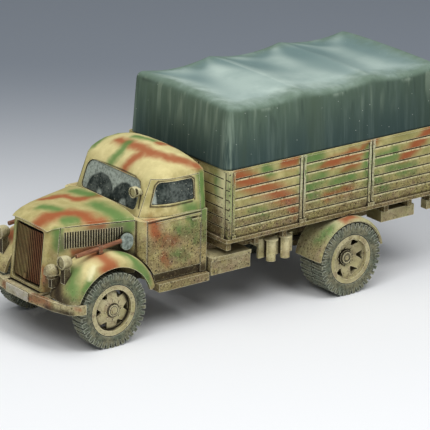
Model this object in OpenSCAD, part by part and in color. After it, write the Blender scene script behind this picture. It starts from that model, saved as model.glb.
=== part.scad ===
// Scale model of a bonneted military cargo truck with a canvas-covered load bed.
// X points forward, Y to the truck's left and Z up. The ground is z = 0 and x = 0 is mid-length.

/* [Overall] */
// Length from the bumper's front to the tailboard's back
overall_l = 108; // [106:0.5:112]
// Distance between the axles
wheelbase = 64.2; // [63:0.2:66]
// From the bumper's front back to the front axle
front_overhang = 14.5; // [14:0.1:15]
// Gap left round a panel fitted beside another
panel_gap = 0.12; // [0.06:0.01:0.16]
// Thickness of the cab, door and bonnet panels
panel_t = 0.9; // [0.7:0.05:1]

/* [Wheels] */
// Radius of a tyre over its lugs
tyre_r = 8.7; // [8.4:0.1:8.9]
// Width of a tyre
tyre_w = 3.9; // [3.6:0.1:4]
// Height of the lugs on a tyre's shoulder
lug_h = 0.3; // [0.2:0.05:0.4]
// Lugs round a tyre
lug_count = 38; // [24:2:44]
// Radius of the seat that a tyre sits on
rim_r = 5.5; // [5.3:0.1:5.7]
// Height of the rim's flange over the seat
flange_h = 0.35; // [0.2:0.05:0.4]
// Radius of the wheel's hub
hub_r = 1.7; // [1.5:0.1:1.9]
// Radius of the hub's cap
cap_r = 1.35; // [1.2:0.05:1.4]
// Openings in a wheel's disc
hole_count = 6; // [4:1:8]
// Radius of an axle stub
stub_r = 0.9; // [0.7:0.05:1]
// Running play between a stub and its wheel
stub_play = 0.05; // [0.03:0.01:0.08]
// From the middle to a front wheel's mid-plane
front_half_track = 14.9; // [14.7:0.05:15.1]
// From the middle to an outer rear wheel's mid-plane
rear_half_track = 19.35; // [19.2:0.05:19.4]
// Gap between the twin rear tyres
twin_gap = 0.4; // [0.3:0.05:0.5]

/* [Chassis] */
// From the axles up to the frame rails
rail_rise = 3.5; // [3.3:0.1:3.7]
// Height of a frame rail
rail_h = 2.6; // [2.4:0.1:2.7]
// Width of a frame rail
rail_w = 1.2; // [1:0.1:1.4]
// From the middle to a rail's mid-plane
rail_y = 6.4; // [6.2:0.1:6.6]
// From the bumper's front to the rails' front ends
rail_setback = 5.5; // [5.4:0.1:5.8]
// Thickness of a leaf spring pack
spring_t = 0.9; // [0.7:0.1:1.1]
// Length of a front spring
front_spring_l = 13; // [12:0.5:13.5]
// Length of a rear spring
rear_spring_l = 20; // [18:0.5:22]
// Radius of the rear axle tube
axle_r = 1.2; // [1.1:0.05:1.3]
// Radius of the differential housing
diff_r = 2.8; // [2.4:0.1:3]

/* [Cab] */
// From the front axle back to the cab's rear wall
cab_setback = 26.2; // [26:0.1:26.6]
// Length of the cab up to its cowl
cab_l = 17.9; // [17.6:0.1:18]
// Half of the cab's width
cab_half_w = 15.6; // [15.4:0.1:15.8]
// From the rails' underside up to the cab's sills
cab_lift = 0.2; // [0.1:0.05:0.5]
// Height of the cab from its sills to the belt line
belt_h = 14.7; // [14.4:0.1:15]
// Height from the belt line to the gutter above the doors
window_band_h = 8.3; // [8:0.1:8.8]
// Rise of the roof's crown over the gutter
roof_rise = 4.6; // [4.2:0.1:5.2]
// Backward lean of the windscreen in degrees
screen_lean = 19; // [16:0.5:20]
// Radius of the cowl's corners in plan
cowl_r = 2.2; // [1.8:0.1:2.6]
// From the cab's sills up to the doors
sill_h = 1.9; // [1.7:0.1:2.3]
// From the cab's rear wall to the door's rear edge
door_inset = 1.7; // [1.6:0.1:2]
// Length of a door
door_l = 14.7; // [14.4:0.1:14.9]

/* [Bonnet] */
// Half of the bonnet's width at the cowl
bonnet_half_w = 13; // [12.7:0.1:13.2]
// Half of the bonnet's width at the nose
nose_half_w = 6.7; // [6.5:0.1:7]
// Rise of the bonnet's crown over the belt line
crown_h = 2.1; // [1.7:0.1:2.5]
// Louvres in each bonnet side
louvre_count = 23; // [16:1:24]
// From the rails' underside up to the radiator surround
surround_lift = 0.1; // [0.1:0.05:0.4]
// Depth of the radiator surround
surround_d = 2.6; // [2.4:0.1:2.8]
// Bars in the grille
bar_count = 17; // [11:2:19]
// Radius of a headlamp
lamp_r = 1.5; // [1.3:0.05:1.6]

/* [Fenders] */
// Clearance between a front tyre and its fender's lip
lip_clear = 1.4; // [1.3:0.05:1.6]
// Rise of a front fender from its lip to its crown
fender_rise = 2.6; // [2.4:0.1:2.7]
// From a front tyre's outer face out to its fender's lip
fender_lap = 0.35; // [0.25:0.05:0.6]
// Thickness of the fenders
fender_t = 0.7; // [0.6:0.05:0.8]
// From a rear tyre out to its mudguard's outer face
guard_clear = 1.3; // [1.2:0.05:1.5]
// From a rear tyre's outer face out to its mudguard's edge
guard_lap = 0.15; // [0.1:0.05:0.4]
// Height of the running boards
step_h = 1.9; // [1.7:0.1:2]

/* [Bed] */
// Gap between the cab and the bed
bed_gap = 3; // [2.8:0.1:3.3]
// Half of the bed's width
bed_half_w = 19.1; // [18.9:0.1:19.3]
// Gap between the rear mudguards and the bed's floor
floor_gap = 0.2; // [0.15:0.05:0.4]
// Thickness of the bed's floor
floor_t = 0.9; // [0.8:0.05:1]
// Height of the bed's boards
board_h = 16; // [15:0.2:17]
// Thickness of the bed's boards
board_t = 0.9; // [0.8:0.05:1]
// Planks in the height of a board
plank_count = 7; // [5:1:8]
// Panels along each side of the bed
panel_count = 3; // [2:1:4]

/* [Canvas] */
// Height of the canvas over the boards at its bows
canvas_rise = 14.8; // [13.4:0.2:16]
// Thickness of the canvas
canvas_t = 0.8; // [0.6:0.05:1]
// Bays between the canvas bows
bay_count = 3; // [2:1:4]
// Sag of the canvas between its bows
canvas_sag = 1.1; // [0.4:0.1:1.6]

/* [Hidden] */
$fn = 48;

// Every cut runs past the face that it opens by this much
overrun = 0.6;
// Play between pieces that only rest on each other
rest_gap = 0.05;

// Lengthwise datums
front_x = overall_l / 2;
rear_x = -overall_l / 2;
front_axle_x = front_x - front_overhang;
rear_axle_x = front_axle_x - wheelbase;
cab_back_x = front_axle_x - cab_setback;
cab_front_x = cab_back_x + cab_l;
bed_front_x = cab_back_x - bed_gap;
rail_front_x = front_x - rail_setback;
rail_back_x = rear_x + rail_w;

// Height datums and the radii about the axles
axle_z = tyre_r;
rail_z = axle_z + rail_rise;
rail_top_z = rail_z + rail_h;
cab_z = rail_z + cab_lift;
door_z = cab_z + sill_h;
belt_z = cab_z + belt_h;
gutter_z = belt_z + window_band_h;
roof_z = gutter_z + roof_rise;
lip_r = tyre_r + lip_clear;
crown_r = lip_r + fender_rise;
fender_half_w = front_half_track + tyre_w / 2 + fender_lap;
guard_r = tyre_r + guard_clear;
guard_half_w = rear_half_track + tyre_w / 2 + guard_lap;
floor_z = axle_z + guard_r + floor_gap;
floor_top_z = floor_z + floor_t;
board_top_z = floor_top_z + board_h;
canvas_z = board_top_z + canvas_rise;

// Outer face of the frame rails, with the play that brackets keep from it
bracket_y = rail_y + rail_w / 2 + rest_gap;

// Paint colours
sand = "#c2a869";
dark_sand = "#9a8256";
canvas_green = "#5d6352";
rubber = "#4b4a40";
steel = "#6e7073";
timber = "#7a4632";
glass_dark = "#20261f";
pale = "#dcd8c8";

// Prism along X over points given as [y, z]
module prism_x(points, low, high) {
    translate([low, 0, 0])
        rotate([90, 0, 90])
            linear_extrude(high - low)
                polygon(points);
}

// Prism along Y over points given as [x, z]
module prism_y(points, low, high) {
    translate([0, high, 0])
        rotate([90, 0, 0])
            linear_extrude(high - low)
                polygon(points);
}

// Box between two corners
module box(low, high) {
    translate(low)
        cube(high - low);
}

// Box with its mirror image across the mid-plane
module box_pair(low, high) {
    both_sides()
        box(low, high);
}

// The child and its mirror image across the mid-plane
module both_sides() {
    children();
    mirror([0, 1, 0])
        children();
}

// Cylinder along Y between two distances from the middle
module rod_y(radius, low, high) {
    translate([0, low, 0])
        rotate([-90, 0, 0])
            cylinder(r = radius, h = high - low);
}

// Cylinder along X between two places
module rod_x(radius, low, high) {
    translate([low, 0, 0])
        rotate([0, right_angle, 0])
            cylinder(r = radius, h = high - low);
}

// Cylinder from one point to another
module strut(radius, from, to) {
    run = to - from;
    translate(from)
        rotate([0, acos(run[2] / norm(run)), atan2(run[1], run[0])])
            cylinder(r = radius, h = norm(run));
}

// Arc steps in each rounded corner
corner_steps = 4;
right_angle = 90;

// Rectangle with round corners, as points; its lower corners may have a radius of their own
function round_box(low, high, top_r, foot_r = undef) = [
    for (corner = [0:3], step = [0:corner_steps])
        let (
            radius = corner < 2 || foot_r == undef ? top_r : foot_r,
            turn = right_angle * (corner + step / corner_steps),
            at_x = corner == 0 || corner == 3 ? high[0] - radius : low[0] + radius,
            at_y = corner < 2 ? high[1] - radius : low[1] + radius
        )
        [at_x + radius * cos(turn), at_y + radius * sin(turn)]
];

// Closed solid over rings of equally many points, each ring counter-clockwise as seen from its front
module skin(rings) {
    count = len(rings[0]);
    last = len(rings) - 1;
    points = [for (ring = rings) each ring];
    sides = [
        for (i = [0:last - 1], j = [0:count - 1])
            let (a = i * count + j, b = i * count + (j + 1) % count)
            each [[a, a + count, b], [b, a + count, b + count]]
    ];
    back = [for (j = [0:count - 1]) j];
    front = [for (j = [count - 1:-1:0]) last * count + j];
    polyhedron(points, concat([back], sides, [front]));
}

// Height over the axle of a circle about it, at a distance along X
function arch_z(radius, along) = axle_z + sqrt(pow(radius, 2) - pow(along, 2));

// Chassis

member_shares = [0.46, 0.66, 0.84];
tow_plate_t = 0.8;
tow_plate_l = 2.2;
tow_eye_r = 0.55;

// Rails with the cross members between them, and the rear member with its towing plate
module chassis_frame() {
    inner_y = rail_y - rail_w / 2 - rest_gap;
    member_low = rail_z + rail_h / 4;
    color(dark_sand) {
        box_pair([rail_back_x, rail_y - rail_w / 2, rail_z], [rail_front_x, rail_y + rail_w / 2, rail_top_z]);
        for (share = member_shares) {
            at_x = rail_back_x + (rail_front_x - rail_back_x) * (1 - share);
            box([at_x, -inner_y, member_low], [at_x + rail_w, inner_y, rail_top_z]);
        }
        difference() {
            union() {
                box([rear_x + rest_gap, -rail_y, rail_z], [rail_back_x - rest_gap, rail_y, rail_top_z]);
                box([rear_x + rest_gap, -tow_plate_l / 2, rail_z - tow_plate_l],
                    [rear_x + rest_gap + tow_plate_t, tow_plate_l / 2, rail_z + overrun]);
            }
            translate([rear_x, 0, rail_z - tow_plate_l / 2])
                rod_x(tow_eye_r, -overrun, tow_plate_t + overrun);
        }
    }
}

unit_l = 13;
unit_half_w = 3.6;
unit_drop = 1.5;
unit_h = 9;
gearbox_l = 9;
gearbox_r = 1.9;
gearbox_z = rail_z + surround_lift;
// Back of the sump, behind the radiator
unit_back_x = rail_front_x - unit_l;

// Sump and gearbox, the lower part of the drive that shows from below
module power_unit() {
    low_z = rail_z - unit_drop;
    color(steel) {
        box([unit_back_x, -unit_half_w, low_z], [unit_back_x + unit_l, unit_half_w, low_z + unit_h]);
        translate([0, 0, gearbox_z])
            rod_x(gearbox_r, unit_back_x - gearbox_l, unit_back_x + overrun);
    }
}

shaft_r = 0.5;

module drive_shaft() {
    shaft_front_x = unit_back_x - gearbox_l - rest_gap - shaft_r / 2;
    color(steel)
        strut(shaft_r, [rear_axle_x + diff_r + shaft_r / 2, 0, axle_z], [shaft_front_x, 0, gearbox_z]);
}

silencer_r = 1.1;
silencer_l = 10;
pipe_r = 0.4;
exhaust_clear = 1.5;
exhaust_z = rail_z - silencer_r - rest_gap;
tail_l = 9;

// Silencer on the right with its pipes, hung from the rail
module exhaust() {
    silencer_x = cab_back_x - silencer_l / 2;
    exhaust_y = silencer_r + exhaust_clear - step_inner_y;
    color(steel) {
        translate([0, exhaust_y, exhaust_z]) {
            rod_x(silencer_r, silencer_x - silencer_l, silencer_x);
            rod_x(pipe_r, silencer_x - silencer_l - tail_l, silencer_x + tail_l);
        }
        box([silencer_x - silencer_l / 2, exhaust_y, exhaust_z],
            [silencer_x - silencer_l / 2 + silencer_r, -bracket_y, rail_z + rail_w]);
    }
}

beam_w = 1.4;
beam_h = 1.6;
knuckle_r = 1.4;
knuckle_l = 1.5;
// Play between a wheel's hub and the axle's shoulder
hub_play = 0.15;
stub_l = 2.6;

// Distance from the middle to the inner end of a front hub
front_hub_y = front_half_track - tyre_w / 2 + hub_play;

module front_axle() {
    shoulder_y = front_hub_y - hub_play;
    translate([front_axle_x, 0, axle_z])
        color(dark_sand) {
            box([-beam_w / 2, knuckle_l - shoulder_y, -beam_h / 2],
                [beam_w / 2, shoulder_y - knuckle_l, beam_h / 2]);
            both_sides() {
                rod_y(knuckle_r, shoulder_y - knuckle_l - overrun, shoulder_y);
                rod_y(stub_r, shoulder_y - overrun, shoulder_y + stub_l);
            }
        }
}

// Distance from the middle to the inner twin's mid-plane
inner_half_track = rear_half_track - tyre_w - twin_gap;
rear_hub_y = inner_half_track - tyre_w / 2 + hub_play;
rear_stub_l = 6;

module rear_axle() {
    shoulder_y = rear_hub_y - hub_play;
    translate([rear_axle_x, 0, axle_z])
        color(dark_sand) {
            rod_y(axle_r, -shoulder_y, shoulder_y);
            rod_y(stub_r, -shoulder_y - rear_stub_l, shoulder_y + rear_stub_l);
            sphere(r = diff_r);
        }
}

eye_r = 0.7;

// Leaf spring bent as an arc, with an eye at each end under the rail
module leaf_spring(length, low_z) {
    rise = rail_z - rest_gap - eye_r - low_z - spring_t / 2;
    bend_r = (pow(length / 2, 2) + pow(rise, 2)) / (2 * rise);
    translate([0, rail_y + rail_w / 2, 0])
        rotate([90, 0, 0])
            linear_extrude(rail_w) {
                translate([0, low_z + bend_r])
                    intersection() {
                        difference() {
                            circle(r = bend_r);
                            circle(r = bend_r - spring_t);
                        }
                        translate([-length / 2, -bend_r - overrun])
                            square([length, rise + spring_t + overrun]);
                    }
                for (end = [-1, 1])
                    translate([end * length / 2, rail_z - rest_gap - eye_r])
                        circle(r = eye_r);
            }
}

module leaf_springs() {
    color(steel)
        both_sides() {
            translate([front_axle_x, 0, 0])
                leaf_spring(front_spring_l, axle_z + beam_h / 2 + rest_gap);
            translate([rear_axle_x, 0, 0])
                leaf_spring(rear_spring_l, axle_z + axle_r + rest_gap);
        }
}

// Cab

// Stations of the cab's upper part from the rear wall to the windscreen, as shares:
// place along the cab, half-width, height of the crown over the gutter, lean of the station
roof_shares = [
    [0, 0.965, 0.46, 0],
    [0.05, 0.99, 0.68, 0],
    [0.18, 1, 0.89, 0.05],
    [0.36, 1, 0.98, 0.2],
    [0.54, 0.995, 0.93, 0.42],
    [0.7, 0.965, 0.77, 0.62],
    [0.83, 0.915, 0.54, 0.8],
    [0.93, 0.845, 0.3, 0.93],
    [1, 0.75, 0.1, 1]
];
station_x = 0;
station_w = 1;
station_crown = 2;
station_lean = 3;
crown_steps = 14;
half_turn = 180;
// Fills the roof's arch out a little at its shoulders
roof_power_share = 0.85;
// Share by which the cab narrows from the belt to the gutter
tumble_share = 0.06;
// From the cowl's front to the windscreen's foot at the belt
screen_setback = 1.25;
upper_l = cab_l - screen_setback;
upper_half_w = cab_half_w - panel_gap;

// Ring of the cab's upper part at one station, drawn in by the wall's thickness
function upper_ring(station, wall, foot_z) =
    let (
        along = station[station_x],
        at_x = cab_back_x + wall + (upper_l - 2 * wall) * along,
        half_w = upper_half_w * station[station_w] - wall,
        edge_w = half_w * (1 - tumble_share),
        edge_z = gutter_z - wall * (1 - along) - (along == 1 ? panel_t : 0),
        crown = (roof_z - gutter_z) * station[station_crown],
        lean = tan(screen_lean) * station[station_lean],
        arc = [
            for (step = [0:crown_steps])
                let (turn = half_turn * step / crown_steps)
                [edge_w * cos(turn), edge_z + (crown - wall * along) * pow(sin(turn), roof_power_share)]
        ],
        outline = concat([[half_w, foot_z]], arc, [[-half_w, foot_z]])
    )
    [for (p = outline) [at_x - lean * (p[1] - belt_z), p[0], p[1]]];

// Solid of the cab's upper part
module cab_upper(wall, foot_z) {
    skin([for (station = roof_shares) upper_ring(station, wall, foot_z)]);
}

// Plan of the cab's lower part, with round cowl corners
function lower_plan(wall) =
    let (
        half_w = cab_half_w - wall,
        back_x = cab_back_x + wall,
        fore_x = cab_front_x - wall,
        radius = cowl_r
    )
    concat(
        [[back_x, -half_w]],
        [for (step = [0:corner_steps])
            let (turn = right_angle * (step / corner_steps - 1))
            [fore_x - radius + radius * cos(turn), radius - half_w + radius * sin(turn)]],
        [for (step = [0:corner_steps])
            let (turn = right_angle * step / corner_steps)
            [fore_x - radius + radius * cos(turn), half_w - radius + radius * sin(turn)]],
        [[back_x, half_w]]
    );

// Cylinder about the front axle that the fenders' crowns follow
module wheel_arch(radius) {
    translate([front_axle_x, 0, axle_z])
        rod_y(radius, -cab_half_w - overrun, cab_half_w + overrun);
}

// The whole cab with its doors still in, hollow and open below
module cab_body() {
    arch_cut_r = crown_r + panel_gap;
    difference() {
        union() {
            translate([0, 0, cab_z])
                linear_extrude(belt_z - cab_z)
                    polygon(lower_plan(0));
            cab_upper(0, belt_z - overrun);
        }
        difference() {
            translate([0, 0, cab_z - overrun])
                linear_extrude(belt_z - panel_t - cab_z + overrun)
                    polygon(lower_plan(panel_t));
            wheel_arch(arch_cut_r + panel_t);
        }
        cab_upper(panel_t, belt_z - panel_t - overrun);
        wheel_arch(arch_cut_r);
        box([cab_back_x - overrun, panel_t - cab_half_w, cab_z - overrun],
            [cab_front_x + overrun, cab_half_w - panel_t, rail_top_z + 2 * rest_gap]);
    }
}

door_back_x = cab_back_x + door_inset;
door_front_x = door_back_x + door_l;
door_top_z = gutter_z - panel_gap;
screen_w_share = 0.66;
screen_half_w = cab_half_w * screen_w_share;
// Corner post between the windscreen and a door
post_w = 1.7;
post_d = panel_t;
post_y = screen_half_w + post_w;

// Outline of a door, grown by a gap
function door_outline(grow) = [
    [door_back_x - grow, door_z - grow],
    [door_front_x + grow, door_z - grow],
    [door_front_x + grow, belt_z],
    [door_front_x + grow - tan(screen_lean) * (door_top_z + grow - belt_z), door_top_z + grow],
    [door_back_x - grow, door_top_z + grow]
];

// Space that a door takes up in the cab, grown by a gap: the flat side and, over the belt, the rounded corner
module door_space(grow) {
    out_y = cab_half_w + overrun;
    difference() {
        intersection() {
            prism_y(door_outline(grow), screen_half_w - grow, out_y);
            union() {
                box([door_back_x - overrun, cab_half_w - panel_t - grow, door_z - overrun],
                    [door_front_x + overrun, out_y, belt_z]);
                box([door_back_x - overrun, screen_half_w - grow, belt_z - 2 * panel_t],
                    [door_front_x + overrun, out_y, roof_z]);
            }
        }
        in_screen()
            box([grow - post_d, 0, -2 * belt_h], [2 * post_d, post_y - grow, 2 * window_band_h]);
    }
}

window_back = 1.6;
window_fore = 1.6;
window_foot = 2.7;
window_head = 0.7;
window_r = 1.1;
window_foot_r = 0.4;

// Outline of a door's window, whose front leans as the door does
function window_outline(shrink) =
    let (
        low = [door_back_x + window_back + shrink, belt_z + window_foot + shrink],
        high = [door_front_x - window_fore - shrink, gutter_z - window_head - shrink]
    )
    [
        for (p = round_box(low, high, window_r, window_foot_r))
            let (fore = (p[0] - low[0]) / (high[0] - low[0]))
            [p[0] - tan(screen_lean) * (p[1] - belt_z) * fore, p[1]]
    ];

screen_h = 6.9;
screen_foot = 1.15;
screen_r = 2.4;
screen_foot_r = 1;
glass_t = 0.5;
glass_inset = 0.25;

// Child set in the windscreen's plane: X along its normal, Z up its slope
module in_screen() {
    translate([cab_back_x + upper_l, 0, belt_z])
        rotate([0, -screen_lean, 0])
            children();
}

rear_window_w_share = 0.42;
rear_window_half_w = cab_half_w * rear_window_w_share;
rear_window_foot = 3.2;
rear_window_z = belt_z + rear_window_foot;
rear_window_h = 3.4;

function rear_window(shrink) = round_box([shrink - rear_window_half_w, rear_window_z + shrink],
    [rear_window_half_w - shrink, rear_window_z + rear_window_h - shrink], window_r);

function screen_outline(shrink) = round_box([shrink - screen_half_w, screen_foot + shrink],
    [screen_half_w - shrink, screen_foot + screen_h - shrink], screen_r, screen_foot_r);

module cab_shell() {
    color(sand)
        difference() {
            cab_body();
            both_sides() {
                door_space(panel_gap);
                box([door_back_x, cab_half_w - panel_t / 2, cab_z - overrun],
                    [door_front_x, cab_half_w + overrun, door_z - panel_gap + overrun]);
            }
            in_screen()
                prism_x(screen_outline(0), -2 * panel_t, overrun);
            prism_x(rear_window(0), cab_back_x - overrun, cab_back_x + panel_t + overrun);
        }
}

moulding_h = 0.5;
moulding_t = 0.25;
handle_l = 1.8;
handle_h = 0.35;
hinge_r = 0.3;
hinge_l = 1.2;
hinge_shares = [0.2, 0.78];

// Left door with its window cut, a belt moulding, a handle and two hinges
module door_panel() {
    handle_z = belt_z - 3 * moulding_h;
    difference() {
        intersection() {
            cab_body();
            door_space(0);
        }
        prism_y(window_outline(0), screen_half_w - overrun, cab_half_w + overrun);
    }
    box([door_back_x + panel_gap, cab_half_w - panel_t / 2, belt_z - 2 * moulding_h],
        [door_front_x - cowl_r, cab_half_w + moulding_t, belt_z - moulding_h]);
    box([door_back_x + handle_l / 2, cab_half_w - panel_t / 2, handle_z - handle_h],
        [door_back_x + handle_l * 3 / 2, cab_half_w + 2 * moulding_t, handle_z]);
    for (share = hinge_shares)
        translate([door_back_x + hinge_r, cab_half_w, door_z + (belt_z - door_z) * share])
            cylinder(r = hinge_r, h = hinge_l);
}

module door_left() {
    color(sand)
        door_panel();
}

module door_right() {
    color(sand)
        mirror([0, 1, 0])
            door_panel();
}

cab_floor_t = 0.9;

module cab_floor() {
    half_w = cab_half_w - panel_t - panel_gap;
    low_z = rail_top_z + 2 * rest_gap;
    reach = sqrt(pow(crown_r + panel_t + 3 * panel_gap, 2) - pow(low_z - axle_z, 2));
    fore_x = min(front_axle_x - reach, cab_front_x - panel_t - panel_gap);
    color(dark_sand)
        box([cab_back_x + panel_t + panel_gap, -half_w, low_z],
            [fore_x, half_w, low_z + cab_floor_t]);
}

// Panes of the windscreen, the doors and the rear window, each in its opening
module glazing() {
    color(glass_dark) {
        in_screen()
            prism_x(screen_outline(panel_gap), -glass_inset - glass_t, -glass_inset);
        both_sides()
            intersection() {
                prism_y(window_outline(panel_gap), screen_half_w, cab_half_w);
                difference() {
                    cab_upper(glass_inset, belt_z);
                    cab_upper(glass_inset + glass_t, belt_z - overrun);
                }
            }
        prism_x(rear_window(panel_gap), cab_back_x + glass_inset, cab_back_x + glass_inset + glass_t);
    }
}

seat_w_share = 0.74;
seat_half_w = cab_half_w * seat_w_share;
seat_l = 5.2;
seat_h = 4;
back_h = 11;
back_t = 1.3;

// Bench seat on the cab's floor
module seat() {
    low_z = rail_top_z + cab_floor_t + 3 * rest_gap;
    back_x = cab_back_x + panel_t + panel_gap;
    color(dark_sand) {
        box([back_x, -seat_half_w, low_z], [back_x + seat_l, seat_half_w, low_z + seat_h]);
        box([back_x, -seat_half_w, low_z + seat_h - overrun], [back_x + back_t, seat_half_w, low_z + back_h]);
    }
}

dash_d = 2;
dash_h = 2.6;
dash_w_share = 0.77;
dash_half_w = cab_half_w * dash_w_share;

module dashboard() {
    fore_x = cab_front_x - panel_t - panel_gap;
    top_z = belt_z - panel_t - panel_gap;
    color(dark_sand)
        box([fore_x - dash_d, -dash_half_w, top_z - dash_h], [fore_x, dash_half_w, top_z]);
}

steer_r = 2.4;
steer_rim_r = 0.28;
steer_y_share = 0.4;
steer_y = cab_half_w * steer_y_share;
steer_tilt = 52;
column_l = 6.4;
column_r = 0.35;
steer_setback = 6.4;
steer_drop = 1.5;

// Steering wheel with spokes on its column, under the dashboard to the cowl
module steering_wheel() {
    color(glass_dark)
        translate([cab_front_x - steer_setback, steer_y, belt_z - steer_drop])
            rotate([0, half_turn - steer_tilt, 0]) {
                rotate_extrude()
                    translate([steer_r, 0])
                        circle(r = steer_rim_r);
                translate([0, 0, -column_r])
                    cylinder(r = column_r, h = column_l);
                for (turn = [0, half_turn / 3, 2 * half_turn / 3])
                    rotate([0, 0, turn])
                        rod_x(steer_rim_r / 2, -steer_r, steer_r);
            }
}

// Bonnet and radiator

// Stations of the bonnet from the cowl to the nose, as shares:
// place along the bonnet, half-width from nose to cowl, crown over the crease, drop of the crease
bonnet_shares = [
    [0, 1, 1, 0],
    [0.25, 0.755, 1.03, 0],
    [0.5, 0.51, 1, 0],
    [0.71, 0.305, 0.94, 0.01],
    [0.84, 0.17, 0.8, 0.06],
    [0.94, 0.06, 0.52, 0.18],
    [1, 0, 0.24, 0.36]
];
bonnet_along = 0;
bonnet_wide = 1;
bonnet_crown = 2;
bonnet_drop = 3;
// Rise of the bonnet's underside as a share of its top's
bonnet_inner_share = 0.55;
bonnet_back_x = cab_front_x + panel_gap;
bonnet_setback = 3.4;
bonnet_front_x = front_x - bonnet_setback;
bonnet_l = bonnet_front_x - bonnet_back_x;
// Flattens the bonnet's arch at its crown
arch_power_share = 0.8;

// Arch over the bonnet at one station, flattened a little at its crown
function bonnet_arc(half_w, base_z, rise) = [
    for (step = [0:crown_steps])
        let (turn = half_turn * step / crown_steps)
        [half_w * cos(turn), base_z + rise * pow(sin(turn), arch_power_share)]
];

function bonnet_ring(station) =
    let (
        at_x = bonnet_back_x + bonnet_l * station[bonnet_along],
        half_w = nose_half_w + (bonnet_half_w - nose_half_w) * station[bonnet_wide],
        base_z = belt_z - crown_h * station[bonnet_drop],
        rise = crown_h * station[bonnet_crown],
        outer = bonnet_arc(half_w, base_z, rise),
        inner = bonnet_arc(half_w - panel_t, base_z, rise * bonnet_inner_share),
        outline = concat(outer, [for (j = [crown_steps:-1:0]) inner[j]])
    )
    [for (p = outline) [at_x, p[0], p[1]]];

module bonnet() {
    color(sand)
        skin([for (station = bonnet_shares) bonnet_ring(station)]);
}

// Space over the bonnet's lower edge, which the radiator surround keeps out of
module bonnet_over() {
    high_z = belt_z + 2 * crown_h;
    skin([
        for (station = bonnet_shares)
            let (
                at_x = bonnet_back_x + bonnet_l * station[bonnet_along],
                low_z = belt_z - crown_h * station[bonnet_drop] - 2 * rest_gap
            )
            [
                [at_x, bonnet_half_w, low_z],
                [at_x, bonnet_half_w, high_z],
                [at_x, -bonnet_half_w, high_z],
                [at_x, -bonnet_half_w, low_z]
            ]
    ]);
}

// Half-width of the bonnet at a place along it
function bonnet_y(at_x) =
    nose_half_w + (bonnet_half_w - nose_half_w) * (bonnet_front_x - at_x) / bonnet_l;

louvre_back_share = 0.14;
louvre_fore_share = 0.81;
louvre_drop = 5.1;
louvre_h = 3.8;
louvre_w = 0.36;
side_z = rail_top_z + rest_gap;

// One bonnet side from the rail up to the crease, slotted with louvres
module bonnet_side() {
    top_z = belt_z - 2 * rest_gap - crown_h * bonnet_shares[4][bonnet_drop];
    plan = [
        [bonnet_back_x, bonnet_y(bonnet_back_x)],
        [bonnet_back_x, bonnet_y(bonnet_back_x) - panel_t],
        [bonnet_front_x, bonnet_y(bonnet_front_x) - panel_t],
        [bonnet_front_x, bonnet_y(bonnet_front_x)]
    ];
    first = louvre_back_share * bonnet_l;
    pitch = (louvre_fore_share - louvre_back_share) * bonnet_l / louvre_count;
    difference() {
        translate([0, 0, side_z])
            linear_extrude(top_z - side_z)
                polygon(plan);
        in_radiator()
            box([-surround_d - panel_gap, -bonnet_half_w, -surround_h],
                [surround_d, bonnet_half_w, 2 * surround_h]);
        for (i = [0:louvre_count - 1]) {
            at_x = bonnet_back_x + first + pitch * i;
            box([at_x, bonnet_y(at_x) - panel_t - overrun, belt_z - louvre_drop],
                [at_x + louvre_w, bonnet_y(at_x) + panel_t, belt_z - louvre_drop + louvre_h]);
        }
    }
}

module bonnet_sides() {
    color(sand)
        both_sides()
            bonnet_side();
}

grille_lean = 5.5;
surround_setback = 2.4;
surround_h = 15.2;
grille_margin = 1.35;
grille_half_w = nose_half_w - grille_margin;
grille_foot = 0.5;
grille_h = 13.1;
surround_r = 1.2;
nose_r = 0.9;

// Child set in the radiator's plane: X along its normal, Z up its slope
module in_radiator() {
    translate([front_x - surround_setback, 0, rail_z + surround_lift])
        rotate([0, -grille_lean, 0])
            children();
}

// Plan of the radiator surround, tapering as the bonnet does to round front corners
function nose_plan() =
    let (
        back_w = nose_half_w + surround_d * (bonnet_half_w - nose_half_w) / bonnet_l,
        arc = [
            for (step = [0:corner_steps])
                let (turn = right_angle * step / corner_steps)
                [nose_r * (cos(turn) - 1), nose_half_w - nose_r * (1 - sin(turn))]
        ]
    )
    concat(
        [[-surround_d, -back_w]],
        [for (j = [corner_steps:-1:0]) [arc[j][0], -arc[j][1]]],
        arc,
        [[-surround_d, back_w]]
    );

// Frame round the grille, its top following the bonnet's lower edge
module radiator_surround() {
    color(sand)
        difference() {
            in_radiator()
                difference() {
                    linear_extrude(surround_h)
                        polygon(nose_plan());
                    prism_x(round_box([-grille_half_w, grille_foot],
                        [grille_half_w, grille_foot + grille_h], surround_r / 2),
                        -surround_d - overrun, overrun);
                }
            bonnet_over();
            box([bonnet_back_x, -bonnet_half_w, 0], [front_x, bonnet_half_w, rail_z + rest_gap]);
        }
}

bar_share = 0.5;
core_t = 0.5;
core_setback = 1.7;
prow = 0.45;
crank_half_w = 0.4;
crank_z = 1.5;
crank_h = 1.1;

// Upright bars before the radiator's core, set to a shallow prow, with the starting handle's guide
module grille() {
    half_w = grille_half_w - panel_gap;
    pitch = 2 * half_w / bar_count;
    low_z = grille_foot + panel_gap;
    high_z = grille_foot + grille_h - panel_gap;
    color(dark_sand)
        in_radiator() {
            prism_x(round_box([-half_w, low_z], [half_w, high_z], surround_r / 2),
                -core_setback, core_t - core_setback);
            for (i = [0:bar_count - 1]) {
                mid_y = pitch * i - half_w + pitch / 2;
                fore = prow * (1 - abs(mid_y) / half_w);
                box([-core_setback, mid_y - pitch * bar_share / 2, low_z + surround_r / 2],
                    [fore - core_t, mid_y + pitch * bar_share / 2, high_z - surround_r / 2]);
            }
            box([-core_setback, -crank_half_w, crank_z], [prow, crank_half_w, crank_z + crank_h]);
        }
}

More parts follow.
